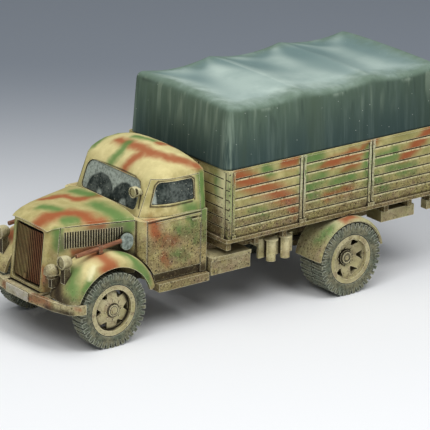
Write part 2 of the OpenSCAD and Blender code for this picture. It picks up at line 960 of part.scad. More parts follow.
bumper_drop = 2.3;
bumper_z = rail_z - bumper_drop;
bumper_h = 2.2;
bumper_t = 0.9;
bumper_proud = 0.55;
bumper_half_w = fender_half_w + bumper_proud;
// Bends of the bumper as [share of its half-width, share of its sweep]
bumper_shares = [[0.25, 0], [0.7, 0.22], [0.92, 0.5], [1, 1]];
bumper_sweep = 5.1;
horn_w = 1;
horn_t = 0.8;
horn_lap = 1.4;

// Left half of one face of the bumper in plan, from the middle outward
function bumper_edge(face_x) = [
    for (s = bumper_shares) [face_x - bumper_sweep * s[1], bumper_half_w * s[0]]
];

// Bumper blade with swept ends, on two horns under the rails with a splash plate between them
module front_bumper() {
    fore_x = front_x - plate_t - rest_gap;
    horn_back_x = rail_front_x - horn_lap;
    horn_z = rail_z - rest_gap - horn_t;
    last = len(bumper_shares) - 1;
    outer = bumper_edge(fore_x);
    inner = bumper_edge(fore_x - bumper_t);
    color(sand) {
        translate([0, 0, bumper_z])
            linear_extrude(bumper_h)
                polygon(concat(
                    [for (j = [last:-1:0]) [outer[j][0], -outer[j][1]]],
                    outer,
                    [for (j = [last:-1:0]) inner[j]],
                    [for (p = inner) [p[0], -p[1]]]
                ));
        box_pair([horn_back_x, rail_y - horn_w / 2, horn_z],
            [fore_x - bumper_t, rail_y + horn_w / 2, rail_z - rest_gap]);
        box([rail_front_x + rest_gap, panel_gap - fender_inner_y, horn_z],
            [fore_x - bumper_t + rest_gap, fender_inner_y - panel_gap, horn_z + horn_t / 2]);
    }
}

plate_t = 0.3;
plate_half_w = 4.2;
plate_h = 2;

module number_plate() {
    mid_z = bumper_z + bumper_h / 2;
    color(pale)
        box([front_x - plate_t, -plate_half_w, mid_z - plate_h / 2],
            [front_x, plate_half_w, mid_z + plate_h / 2]);
}

// Fenders and steps

fender_start = 12;
fender_span = 151;
fender_inner_y = 8.8;
crown_share = 0.42;
fender_crown_y = fender_half_w - (fender_half_w - fender_inner_y) * crown_share;
// Rounds the fender's shoulder a little fuller than an ellipse
shoulder_power_share = 0.9;

// Section of a front fender as [radius about the axle, distance from the middle], drawn in by a wall
function fender_arc(wall) = [
    for (step = [0:2 * corner_steps])
        let (turn = right_angle * step / (2 * corner_steps))
        [
            lip_r + (crown_r - wall - lip_r) * pow(sin(turn), shoulder_power_share),
            fender_half_w - wall - (fender_half_w - fender_inner_y) * crown_share * (1 - cos(turn))
        ]
];

// Cylinder about the front axle that just clears a fender's top at a distance from the middle
module over_fender(at_y) {
    fall = (fender_crown_y - at_y) / (fender_crown_y - fender_inner_y);
    translate([front_axle_x, 0, axle_z])
        rod_y(crown_r - fender_t / 2 * fall + rest_gap, 0, fender_half_w);
}

// Left front fender, an arched shell about the front axle that comes down to the bumper
module fender() {
    outer = fender_arc(0);
    inner = fender_arc(fender_t);
    steps = 2 * corner_steps;
    section = concat(
        outer,
        [[crown_r - fender_t / 2, fender_inner_y], [crown_r - fender_t * 3 / 2, fender_inner_y]],
        [for (j = [steps:-1:0]) inner[j]]
    );
    difference() {
        translate([front_axle_x, 0, axle_z])
            rotate([90, 0, 0])
                rotate([0, 0, fender_start])
                    rotate_extrude(angle = fender_span)
                        polygon([for (p = section) [p[0], -p[1]]]);
        bonnet_space();
        box([front_axle_x, 0, 0], [front_x, fender_half_w + overrun, bumper_z + bumper_h + panel_gap]);
    }
}

// Space between the bonnet's sides, from the ground up
module bonnet_space() {
    fore_x = front_x + overrun;
    back_x = cab_front_x;
    linear_extrude(belt_z)
        polygon([
            [back_x, -bonnet_y(back_x) - panel_gap],
            [fore_x, -bonnet_y(fore_x) - panel_gap],
            [fore_x, bonnet_y(fore_x) + panel_gap],
            [back_x, bonnet_y(back_x) + panel_gap]
        ]);
}

module fender_left() {
    color(sand)
        fender();
}

module fender_right() {
    color(sand)
        mirror([0, 1, 0])
            fender();
}

step_proud = 1.25;
step_w = 4.25;
step_half_w = cab_half_w + step_proud;
step_inner_y = step_half_w - step_w;
step_z = rail_z - step_h;
step_front_x = front_axle_x - crown_r * cos(half_turn - fender_start - fender_span) - panel_gap;
step_arm_w = 1;
step_arm_shares = [0.15, 0.7];

// Running boards on arms from the rails
module running_boards() {
    step_l = step_front_x - cab_back_x;
    color(dark_sand)
        both_sides() {
            box([cab_back_x, step_inner_y, step_z], [step_front_x, step_half_w, step_z + step_h]);
            for (share = step_arm_shares)
                translate([cab_back_x + step_l * share, 0, 0]) {
                    box([0, bracket_y, rail_z + rest_gap], [step_arm_w, step_inner_y, rail_z + step_arm_w]);
                    box([0, step_inner_y - step_arm_w, step_z],
                        [step_arm_w, step_inner_y + overrun, rail_z + step_arm_w]);
                }
        }
}

guard_t = 0.55;
guard_inner_y = inner_half_track - tyre_w / 2 - guard_lap;
guard_start = 7;
guard_span = 160;
guard_fold = 1.5;

// Rear mudguards, arched over the twin tyres with a rolled outer edge
module rear_mudguards() {
    edge = [
        for (step = [0:corner_steps])
            let (turn = right_angle * step / corner_steps)
            [guard_r - guard_fold * (1 - cos(turn)) / 2, guard_half_w - guard_fold * (1 - sin(turn))]
    ];
    inner = [
        for (step = [corner_steps:-1:0])
            let (turn = right_angle * step / corner_steps)
            [guard_r - guard_t - (guard_fold - guard_t) * (1 - cos(turn)) / 2,
                guard_half_w - guard_t / 2 - (guard_fold - guard_t / 2) * (1 - sin(turn))]
    ];
    section = concat([[guard_r, guard_inner_y]], edge, inner, [[guard_r - guard_t, guard_inner_y]]);
    color(sand)
        both_sides()
            translate([rear_axle_x, 0, axle_z])
                rotate([90, 0, 0])
                    rotate([0, 0, guard_start])
                        rotate_extrude(angle = guard_span)
                            polygon([for (p = section) [p[0], -p[1]]]);
}

// Lamps and tools

headlamp_setback = 4.7;
headlamp_x = front_x - headlamp_setback;
headlamp_inset = 5.1;
headlamp_y = fender_half_w - headlamp_inset;
headlamp_drop = 0.7;
headlamp_z = axle_z + crown_r - headlamp_drop;
headlamp_l = 1.3;
neck_r = 0.5;
lamp_foot_half_w = 0.75;
lamp_steps = 8;
// Lens of a lamp, as a share of its radius, and its depth behind the rim
lens_share = 0.78;
lens_d = 0.2;

// Lamp's body about X: a dome behind, a drum of a length and a sunk lens in front
module lamp_body(radius, length) {
    dome = [
        for (j = [0:lamp_steps])
            let (turn = right_angle * j / lamp_steps)
            [radius * sin(turn), -radius * cos(turn)]
    ];
    rotate([0, right_angle, 0])
        rotate_extrude()
            polygon(concat(dome, [
                [radius, length],
                [radius * lens_share, length],
                [radius * lens_share, length - lens_d],
                [0, length - lens_d]
            ]));
}

// Headlamps on pedestals that stand on the fenders
module headlamps() {
    foot_z = arch_z(crown_r, headlamp_x - front_axle_x + lamp_foot_half_w);
    color(pale)
        both_sides() {
            translate([headlamp_x, headlamp_y, headlamp_z])
                lamp_body(lamp_r, headlamp_l);
            difference() {
                box([headlamp_x - lamp_foot_half_w, headlamp_y - lamp_foot_half_w, foot_z],
                    [headlamp_x + lamp_foot_half_w, headlamp_y + lamp_foot_half_w, headlamp_z - lamp_r / 2]);
                over_fender(headlamp_y + lamp_foot_half_w);
            }
        }
}

blackout_setback = 2.5;
blackout_x = front_x - blackout_setback;
blackout_inset = 7.4;
blackout_y = fender_half_w - blackout_inset;
blackout_rise = 6.2;
blackout_z = bumper_z + bumper_h + blackout_rise;
blackout_r = 1.7;
blackout_base_r = 1;
blackout_lip_h = 0.5;
blackout_foot_l = 2.4;
blackout_foot_h = 2.2;
blackout_foot_half_w = 0.6;

// Helmet-shaped blackout lamp on a foot at the left fender's front
module blackout_lamp() {
    foot_z = blackout_z - 3 * blackout_lip_h;
    foot_w = blackout_foot_half_w;
    color(sand) {
        translate([blackout_x, blackout_y, blackout_z]) {
            intersection() {
                sphere(r = blackout_r);
                translate([-2 * blackout_r, -2 * blackout_r, 0])
                    cube(4 * blackout_r);
            }
            translate([0, 0, -blackout_lip_h])
                cylinder(r = blackout_r, h = blackout_lip_h);
            translate([0, 0, -3 * blackout_lip_h])
                cylinder(r = blackout_base_r, h = 3 * blackout_lip_h);
        }
        difference() {
            box([blackout_x - blackout_foot_l, blackout_y - foot_w, foot_z - blackout_foot_h],
                [blackout_x + foot_w / 2, blackout_y + foot_w, foot_z + rest_gap]);
            over_fender(blackout_y + foot_w);
        }
    }
}

pillar_lamp_r = 1.25;
pillar_lamp_l = 0.8;
pillar_lamp_reach = 1.8;
pillar_lamp_rise = 5.4;
pillar_lug_r = 0.85;

// Lamp with a knob beside it, on a bracket from the left windscreen pillar
module pillar_lamp() {
    color(dark_sand)
        in_screen()
            translate([0, screen_half_w + neck_r + panel_gap, pillar_lamp_rise]) {
                rod_x(neck_r, rest_gap, pillar_lamp_reach);
                translate([pillar_lamp_reach, 0, 0])
                    rotate([0, screen_lean, 0]) {
                        lamp_body(pillar_lamp_r, pillar_lamp_l);
                        translate([0, pillar_lamp_r, pillar_lug_r / 2])
                            lamp_body(pillar_lug_r, pillar_lug_r / 2);
                    }
            }
}

tool_proud = 0.1;
tool_y = bonnet_half_w + tool_proud;
tool_r = 0.5;
tool_front_setback = 6.8;
tool_back_setback = 3.4;
tool_rise = 0.5;
tool_slope = 1.2;
tool_front = [front_x - tool_front_setback, tool_y, axle_z + crown_r + tool_rise];
tool_back = [cab_front_x + tool_back_setback, tool_y, tool_front[2] + tool_slope];
clip_share = 0.5;
clip_w = 0.9;
clip_half_t = 0.65;
blade_h = 3.8;
blade_rise_share = 0.35;
blade_l = 3.2;
blade_t = 0.6;

// Handle along the fender's top with the clip that holds it
module tool_handle() {
    clip_at = tool_front + (tool_back - tool_front) * clip_share;
    strut(tool_r, tool_front, tool_back);
    box([clip_at[0] - clip_w / 2, tool_y - clip_half_t, axle_z + crown_r + rest_gap],
        [clip_at[0] + clip_w / 2, tool_y + clip_half_t, clip_at[2] + clip_half_t]);
}

// Shovel held along the left fender, blade to the rear and clear of the fender
module shovel() {
    fore_x = tool_back[0] + overrun;
    low_z = arch_z(crown_r, front_axle_x - fore_x) + rest_gap;
    color(timber)
        tool_handle();
    color(steel)
        translate([fore_x, 0, max(tool_back[2] + blade_h * blade_rise_share, low_z + blade_h)])
            prism_y(round_box([-blade_l, -blade_h], [0, 0], blade_l / 2 - rest_gap),
                tool_y - blade_t / 2, tool_y + blade_t / 2);
}

pick_h = 3.4;
pick_rise_share = 0.4;

// Pick held along the right fender, head to the rear
module pick() {
    top_z = tool_back[2] + pick_h * pick_rise_share;
    mirror([0, 1, 0]) {
        color(timber)
            tool_handle();
        color(steel)
            box([tool_back[0] - blade_t, tool_y - blade_t / 2, top_z - pick_h],
                [tool_back[0] + blade_t, tool_y + blade_t / 2, top_z]);
    }
}

// Load bed

bearer_top_z = (rail_top_z + floor_z) / 2;

module bed_bearers() {
    color(timber)
        box_pair([rear_x + board_t, rail_y - rail_w / 2, rail_top_z],
            [bed_front_x - board_t, rail_y + rail_w / 2, bearer_top_z]);
}

cross_w = 1.2;
cross_inset = 1.1;
cross_half_l = bed_half_w - cross_inset;
// Shares of the runs before and behind the rear mudguards at which the cross bearers lie
fore_cross_shares = [0.06, 0.4, 0.74];
rear_cross_shares = [0.1, 0.5, 0.88];
fore_run = bed_front_x - rear_axle_x - guard_r - cross_w;
rear_run = rear_axle_x - guard_r - cross_w - rear_x;
cross_places = concat(
    [for (share = fore_cross_shares) bed_front_x - fore_run * share],
    [for (share = rear_cross_shares) rear_x + rear_run * (1 - share)]
);

module cross_bearers() {
    color(timber)
        for (mid_x = cross_places)
            box([mid_x - cross_w / 2, -cross_half_l, bearer_top_z],
                [mid_x + cross_w / 2, cross_half_l, floor_z]);
}

module bed_floor() {
    color(dark_sand)
        box([rear_x, -bed_half_w, floor_z], [bed_front_x, bed_half_w, floor_top_z]);
}

groove_w = 0.28;
groove_d = 0.25;
strap_w = 0.6;
strap_t = 0.3;
strap_inset = 0.14;
foot_h = 0.8;
cap_h = 0.55;
cap_t = 0.14;

// Panel of planks standing along X, its outer face at y = 0 toward +Y, with a cap, straps and their feet
module plank_panel(length, height, straps) {
    pitch = height / plank_count;
    difference() {
        box([0, -board_t, 0], [length, 0, height]);
        for (i = [1:plank_count - 1])
            box([-overrun, -groove_d, pitch * i - groove_w / 2],
                [length + overrun, overrun, pitch * i + groove_w / 2]);
    }
    box([0, -board_t, height - cap_h], [length, cap_t, height]);
    for (at_x = straps) {
        box([at_x, -board_t / 2, 0], [at_x + strap_w, strap_t, height - cap_h]);
        box([at_x - strap_inset, -board_t / 2, 0], [at_x + strap_w + strap_inset, 2 * strap_t, foot_h]);
    }
}

// Depth of an end board with its straps
end_board_d = 2 * strap_t + board_t;

// Left side of the bed between the end boards, its panels standing apart by a gap
module side_board() {
    back_x = rear_x + end_board_d + panel_gap;
    run = bed_front_x - end_board_d - panel_gap - back_x;
    panel_l = (run - panel_gap * (panel_count - 1)) / panel_count;
    for (i = [0:panel_count - 1])
        translate([back_x + (panel_l + panel_gap) * i, bed_half_w - 2 * strap_t, floor_top_z])
            plank_panel(panel_l, board_h, [strap_inset, panel_l - strap_w - strap_inset]);
}

module side_board_left() {
    color(sand)
        side_board();
}

module side_board_right() {
    color(sand)
        mirror([0, 1, 0])
            side_board();
}

end_strap_shares = [0.03, 0.3, 0.68, 0.95];

// Straps of an end board, spread over its width
function end_straps(length) = [for (share = end_strap_shares) length * share];

module headboard() {
    width = 2 * (bed_half_w - strap_t);
    color(sand)
        translate([bed_front_x - 2 * strap_t, width / 2, floor_top_z])
            rotate([0, 0, -right_angle])
                plank_panel(width, board_h, end_straps(width));
}

module tailboard() {
    width = 2 * (bed_half_w - strap_t);
    color(sand)
        translate([rear_x + 2 * strap_t, -width / 2, floor_top_z])
            rotate([0, 0, right_angle])
                plank_panel(width, board_h, end_straps(width));
}

// From the end boards' outer faces in to the canvas's top, and its flare from there down to its foot
canvas_inset = 0.3;
canvas_flare = 0.8;
canvas_foot_half_w = bed_half_w - 2 * strap_t;
canvas_lean = 0.6;
canvas_top_half_w = canvas_foot_half_w - canvas_lean;
canvas_r = 1.3;
canvas_crown = 0.35;
canvas_ridge = 0.46;
canvas_tuck = 0.35;
bay_steps = 4;

// Ring of the canvas at a place along it, drawn in by a wall and leaning out by a flare toward its foot
function canvas_ring(at_x, sag_share, wall, foot_z, flare) =
    let (
        top_z = canvas_z - canvas_sag * sag_share - wall,
        foot_w = canvas_foot_half_w - wall,
        top_w = canvas_top_half_w - canvas_tuck * sag_share - wall,
        corner = [
            for (step = [0:corner_steps])
                let (turn = right_angle * step / corner_steps)
                [top_w - canvas_r * (1 - cos(turn)), top_z - canvas_r * (1 - sin(turn))]
        ],
        outline = concat(
            [[foot_w, foot_z]],
            corner,
            [for (k = [1:-1:-1]) [top_w * k / 2, top_z + (k == 0 ? canvas_ridge : canvas_crown)]],
            [for (j = [corner_steps:-1:0]) [-corner[j][0], corner[j][1]]],
            [[-foot_w, foot_z]]
        )
    )
    [for (p = outline) [at_x + flare * (canvas_z - p[1]) / canvas_rise, p[0], p[1]]];

// Solid over the canvas's bows, drawn in by a wall
module canvas_form(wall, foot_z) {
    fore_x = bed_front_x - 2 * strap_t - canvas_inset - wall;
    back_x = rear_x + 2 * strap_t + canvas_inset + wall;
    rings = bay_count * bay_steps;
    skin([
        for (i = [0:rings])
            let (
                u = (i % bay_steps) / bay_steps,
                flare = canvas_flare * (2 * i / rings - 1)
            )
            canvas_ring(back_x + (fore_x - back_x) * i / rings, 4 * u * (1 - u), wall, foot_z, flare)
    ]);
}

// Canvas cover stretched over its bows, its foot on the boards
module canvas() {
    foot_z = board_top_z + rest_gap;
    color(canvas_green)
        difference() {
            canvas_form(0, foot_z);
            canvas_form(canvas_t, foot_z - overrun);
        }
}

// Boxes under the bed

box_proud = 0.15;
box_half_w = step_half_w + box_proud;
box_d = 5.4;
box_inner_y = box_half_w - box_d;
toolbox_drop = 1;
toolbox_z = rail_z - toolbox_drop;
toolbox_h = 4.2;
lid_t = 0.3;
lid_h = 0.9;
bracket_h = 1;
// Run along each side from the rear mudguard to the cab, and the shares of it that the boxes and cans take
side_run = cab_back_x - rear_axle_x - guard_r;
toolbox_shares = [0.58, 0.98];
can_plate_shares = [0.1, 0.45];

// Place along the run between the rear mudguard and the cab
function side_x(share) = rear_axle_x + guard_r + side_run * share;

// Toolboxes behind the running boards, each on two brackets from the rail
module toolboxes() {
    back_x = side_x(toolbox_shares[0]);
    fore_x = side_x(toolbox_shares[1]);
    top_z = toolbox_z + toolbox_h;
    color(sand)
        both_sides() {
            box([back_x, box_inner_y, toolbox_z], [fore_x, box_half_w - lid_t, top_z]);
            box([back_x, box_inner_y, top_z - lid_h], [fore_x, box_half_w, top_z]);
            for (at_x = [back_x + lid_h, fore_x - lid_h - bracket_h])
                box([at_x, bracket_y, rail_top_z - bracket_h],
                    [at_x + bracket_h, box_inner_y + overrun, rail_top_z - rest_gap]);
        }
}

can_r = 1.1;
can_lid_r = 1.6;
can_h = 5;
can_lid_h = 0.35;
can_dome_h = 0.5;
can_inset = 2.9;
can_y = bed_half_w - can_inset;
can_shares = [0.28, 0.7];
can_plate_t = 0.6;
can_plate_h = 4.6;
can_plate_lift = 0.6;
can_rod_r = 0.2;

// Two lidded canisters with pull rods on a plate that hangs from the rail
module canisters() {
    back_x = side_x(can_plate_shares[0]);
    fore_x = side_x(can_plate_shares[1]);
    low_z = rail_z - can_r + rest_gap;
    plate_y = can_y - can_r;
    mid_x = (back_x + fore_x) / 2;
    color(sand) {
        box([back_x, plate_y - can_plate_t, low_z + can_plate_lift],
            [fore_x, plate_y + rest_gap, low_z + can_plate_lift + can_plate_h]);
        box([mid_x, bracket_y, rail_z + rest_gap], [mid_x + bracket_h, plate_y, rail_z + bracket_h]);
        for (share = can_shares)
            translate([fore_x + (back_x - fore_x) * share, can_y, low_z]) {
                cylinder(r = can_r, h = can_h);
                translate([0, 0, can_h])
                    cylinder(r = can_lid_r, h = can_lid_h);
                translate([0, 0, can_h + can_lid_h])
                    cylinder(r1 = can_lid_r, r2 = can_r / 2, h = can_dome_h);
                translate([can_r, 0, can_r])
                    cylinder(r = can_rod_r, h = can_h - can_r + can_lid_h / 2);
            }
    }
}

rear_box_h = 2.7;
rear_box_inset = 0.9;
rear_box_d = 5.2;
rear_box_shares = [0.06, 0.62];
tail_block_l = 1.6;
tail_block_h = 2.2;
tail_block_d = 2;

// Boxes and rear lamp blocks that hang under the cross bearers
module rear_boxes() {
    high_z = bearer_top_z - rest_gap;
    fore_x = rear_x + rear_run * (1 - rear_box_shares[0]);
    back_x = rear_x + rear_run * (1 - rear_box_shares[1]);
    tail_x = cross_places[len(cross_places) - 1];
    out_y = cross_half_l - rear_box_inset;
    color(sand)
        both_sides() {
            box([back_x, out_y - rear_box_d, high_z - rear_box_h], [fore_x, out_y, high_z]);
            box([tail_x - tail_block_l / 2, out_y - tail_block_d, high_z - tail_block_h],
                [tail_x + tail_block_l / 2, out_y, high_z]);
        }
}

// Wheels

// Side of a tyre as [radius, distance from the mid-plane], from the bead to the shoulder
side_shares = [[0, 0.36], [0.13, 0.36], [0.18, 0.47], [0.32, 0.5], [0.48, 0.49], [0.8, 0.43], [1, 0.35]];
// Corners of a lug as [place along its pitch, height from its root to its tip]
lug_shares = [[0, 0], [0.06, 1], [0.66, 1], [0.72, 0]];
// Root of the lugs on the sidewall, and their length across the tyre
lug_root_share = 0.45;
lug_l_share = 0.95;

// Star of lugs round the axle
function lug_star(root_r) = [
    for (i = [0:lug_count - 1], corner = lug_shares)
        let (
            turn = 2 * half_turn * (i + corner[0]) / lug_count,
            radius = root_r + (tyre_r - root_r) * corner[1]
        )
        [radius * cos(turn), radius * sin(turn)]
];

// Tyre about Z with its mid-plane at z = 0, its lugs running down the shoulders
module tyre() {
    bead_r = rim_r + rest_gap;
    tread_r = tyre_r - lug_h;
    height = tread_r - bead_r;
    side = [for (s = side_shares) [bead_r + height * s[0], tyre_w * s[1]]];
    count = len(side);
    section = concat(side, [for (j = [count - 1:-1:0]) [side[j][0], -side[j][1]]]);
    root_r = bead_r + height * lug_root_share;
    lug_l = tyre_w * lug_l_share;
    rotate_extrude()
        polygon(section);
    difference() {
        translate([0, 0, -lug_l / 2])
            linear_extrude(lug_l)
                polygon(lug_star(root_r));
        translate([0, 0, -tyre_w])
            cylinder(r = root_r - rest_gap, h = 2 * tyre_w);
    }
}

rim_w_share = 0.9;
rim_wall = 0.7;
disc_t = 0.6;
// Groove that rings the hub's cap, as shares of the cap's radius
cap_groove_shares = [0.66, 0.8];
cap_groove_d = 0.15;
hole_in_share = 0.63;
hole_out_share = 0.93;
hole_in_spread = 4;
hole_out_spread = 15;

// Rim, disc and hub about Z; the outside is +Z
module wheel(disc_z, cap_z, hub_low) {
    half_w = tyre_w * rim_w_share / 2;
    well_r = rim_r - rim_wall;
    bead_half_w = tyre_w * side_shares[0][1];
    hole_in = well_r * hole_in_share;
    hole_out = well_r * hole_out_share;
    difference() {
        union() {
            rotate_extrude()
                polygon([
                    [well_r, -half_w],
                    [rim_r, -half_w],
                    [rim_r, bead_half_w + rest_gap],
                    [rim_r + flange_h, bead_half_w + rest_gap],
                    [rim_r + flange_h, half_w],
                    [well_r, half_w]
                ]);
            rotate_extrude()
                polygon([
                    [0, disc_z],
                    [hub_r, disc_z],
                    [well_r + rest_gap, 0],
                    [well_r + rest_gap, disc_t],
                    [hub_r, disc_z + disc_t],
                    [0, disc_z + disc_t]
                ]);
            translate([0, 0, hub_low])
                cylinder(r = hub_r, h = disc_z + disc_t - hub_low);
            translate([0, 0, disc_z])
                cylinder(r = cap_r, h = cap_z - disc_z);
        }
        for (i = [0:hole_count - 1])
            rotate([0, 0, 2 * half_turn * i / hole_count])
                translate([0, 0, -tyre_w])
                    linear_extrude(2 * tyre_w)
                        polygon([
                            [hole_in, -hole_in * tan(hole_in_spread)],
                            [hole_out, -hole_out * tan(hole_out_spread)],
                            [hole_out, hole_out * tan(hole_out_spread)],
                            [hole_in, hole_in * tan(hole_in_spread)]
                        ]);
        translate([0, 0, cap_z - cap_groove_d])
            difference() {
                cylinder(r = cap_r * cap_groove_shares[1], h = cap_groove_d + overrun);
                translate([0, 0, -overrun])
                    cylinder(r = cap_r * cap_groove_shares[0], h = cap_groove_d + 3 * overrun);
            }
    }
}

front_disc_z = 0.9;
front_cap_z = 1.8;
rear_disc_z = -1.2;
rear_cap_z = 0.4;

drum_share = 0.86;
drum_t = 0.5;

// Front wheel with its brake drum, bored for the stub
module wheel_front() {
    hub_low = hub_play - tyre_w / 2;
    difference() {
        union() {
            wheel(front_disc_z, front_cap_z, hub_low);
            translate([0, 0, hub_low])
                cylinder(r = (rim_r - rim_wall) * drum_share, h = drum_t);
        }
        translate([0, 0, -tyre_w])
            cylinder(r = stub_r + stub_play, h = tyre_w - tyre_w / 2 + stub_l + 2 * hub_play);
    }
}

// Child about Z turned to stand on an axle with its outside to the left
module on_axle(at_x, at_y) {
    translate([at_x, at_y, axle_z])
        rotate([-right_angle, 0, 0])
            children();
}

module tyre_front_left() {
    color(rubber)
        on_axle(front_axle_x, front_half_track)
            tyre();
}

module tyre_front_right() {
    color(rubber)
        mirror([0, 1, 0])
            on_axle(front_axle_x, front_half_track)
                tyre();
}

module wheel_front_left() {
    color(sand)
        on_axle(front_axle_x, front_half_track)
            wheel_front();
}

module wheel_front_right() {
    color(sand)
        mirror([0, 1, 0])
            on_axle(front_axle_x, front_half_track)
                wheel_front();
}

module twin_tyres() {
    on_axle(rear_axle_x, rear_half_track)
        tyre();
    on_axle(rear_axle_x, inner_half_track)
        tyre();
}

// Twin rear wheels bolted together at their discs
module twin_wheels() {
    twin_pitch = rear_half_track - inner_half_track;
    difference() {
        union() {
            on_axle(rear_axle_x, rear_half_track)
                wheel(rear_disc_z, rear_cap_z, hub_play - twin_pitch - tyre_w / 2);
            on_axle(rear_axle_x, inner_half_track)
                mirror([0, 0, 1])
                    wheel(rear_disc_z, 0, -twin_pitch);
        }
        on_axle(rear_axle_x, 0)
            cylinder(r = stub_r + stub_play, h = rear_hub_y + rear_stub_l + hub_play);
    }
}

module tyres_rear_left() {
    color(rubber)
        twin_tyres();
}

module tyres_rear_right() {
    color(rubber)
        mirror([0, 1, 0])
            twin_tyres();
}

module wheels_rear_left() {
    color(sand)
        twin_wheels();
}

module wheels_rear_right() {
    color(sand)
        mirror([0, 1, 0])
            twin_wheels();
}

chassis_frame();
power_unit();
drive_shaft();
exhaust();
front_axle();
rear_axle();
leaf_springs();
cab_shell();
cab_floor();
door_left();
door_right();
glazing();
seat();
dashboard();
steering_wheel();
bonnet();
bonnet_sides();
radiator_surround();
grille();
fender_left();
fender_right();
running_boards();
front_bumper();
number_plate();
headlamps();
blackout_lamp();
pillar_lamp();
shovel();
pick();
bed_bearers();
cross_bearers();
bed_floor();
side_board_left();
side_board_right();
headboard();
tailboard();
canvas();
toolboxes();
canisters();
rear_boxes();
rear_mudguards();
tyre_front_left();
tyre_front_right();
wheel_front_left();
wheel_front_right();
tyres_rear_left();
tyres_rear_right();
wheels_rear_left();
wheels_rear_right();
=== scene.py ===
"""Dresses a painted scale model of a covered cargo truck in camouflage, mud, rubber and canvas."""
import logging
import math
from collections.abc import Iterable
from dataclasses import dataclass
from enum import Enum
from functools import cache, partial, reduce
from typing import ClassVar

import bmesh
import bpy
from mathutils import Matrix, Vector, noise


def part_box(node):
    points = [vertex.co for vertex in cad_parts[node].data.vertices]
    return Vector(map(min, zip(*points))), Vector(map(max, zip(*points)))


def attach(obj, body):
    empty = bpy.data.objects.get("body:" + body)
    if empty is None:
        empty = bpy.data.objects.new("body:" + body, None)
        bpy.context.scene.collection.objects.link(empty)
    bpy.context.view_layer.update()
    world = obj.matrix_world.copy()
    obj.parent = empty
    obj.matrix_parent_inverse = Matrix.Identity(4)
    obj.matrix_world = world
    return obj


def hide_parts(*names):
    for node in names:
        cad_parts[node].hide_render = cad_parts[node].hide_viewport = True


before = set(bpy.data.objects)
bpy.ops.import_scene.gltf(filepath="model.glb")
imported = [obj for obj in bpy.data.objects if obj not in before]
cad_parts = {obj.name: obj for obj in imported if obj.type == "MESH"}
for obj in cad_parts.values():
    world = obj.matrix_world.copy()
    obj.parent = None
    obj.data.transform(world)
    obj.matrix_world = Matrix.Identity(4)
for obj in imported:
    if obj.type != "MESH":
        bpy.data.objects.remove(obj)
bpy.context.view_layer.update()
NODES: dict[str, bpy.types.Object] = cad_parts
LOG = logging.getLogger("truck")

MM = 0.001
PER_MM = 1000.0
CHASSIS = "chassis"
SIDES = (1, -1)

Point = tuple[float, float, float]
Pair = tuple[float, float]
Spot = tuple[Vector, Vector]
Colour = tuple[float, float, float, float]
Socket = bpy.types.NodeSocket
Value = Socket | float
Look = dict[str, object]
Feeds = dict[str | int, object]
Kit = dict[str, bpy.types.Material]


def paint(code: str) -> Colour:
    """Reads a colour as it should show on screen.

    Args:
        code: Six hexadecimal digits.

    Returns:
        The colour in linear light with full opacity.
    """
    shares = [int(code[i:i + 2], 16) / 255 for i in (0, 2, 4)]
    linear = [s / 12.92 if s <= 0.04045 else ((s + 0.055) / 1.055) ** 2.4 for s in shares]
    return (linear[0], linear[1], linear[2], 1.0)


@dataclass(frozen=True)
class Pattern:
    """Clouds: how many in a millimetre, their octaves, and the share kept from one to the next."""

    scale: float
    detail: float = 3.0
    rough: float = 0.55


@dataclass(frozen=True)
class Layer:
    """A thin coat: where its pattern starts and is full, its colour, and the share it covers."""

    start: float
    full: float
    code: str
    cover: float = 1.0


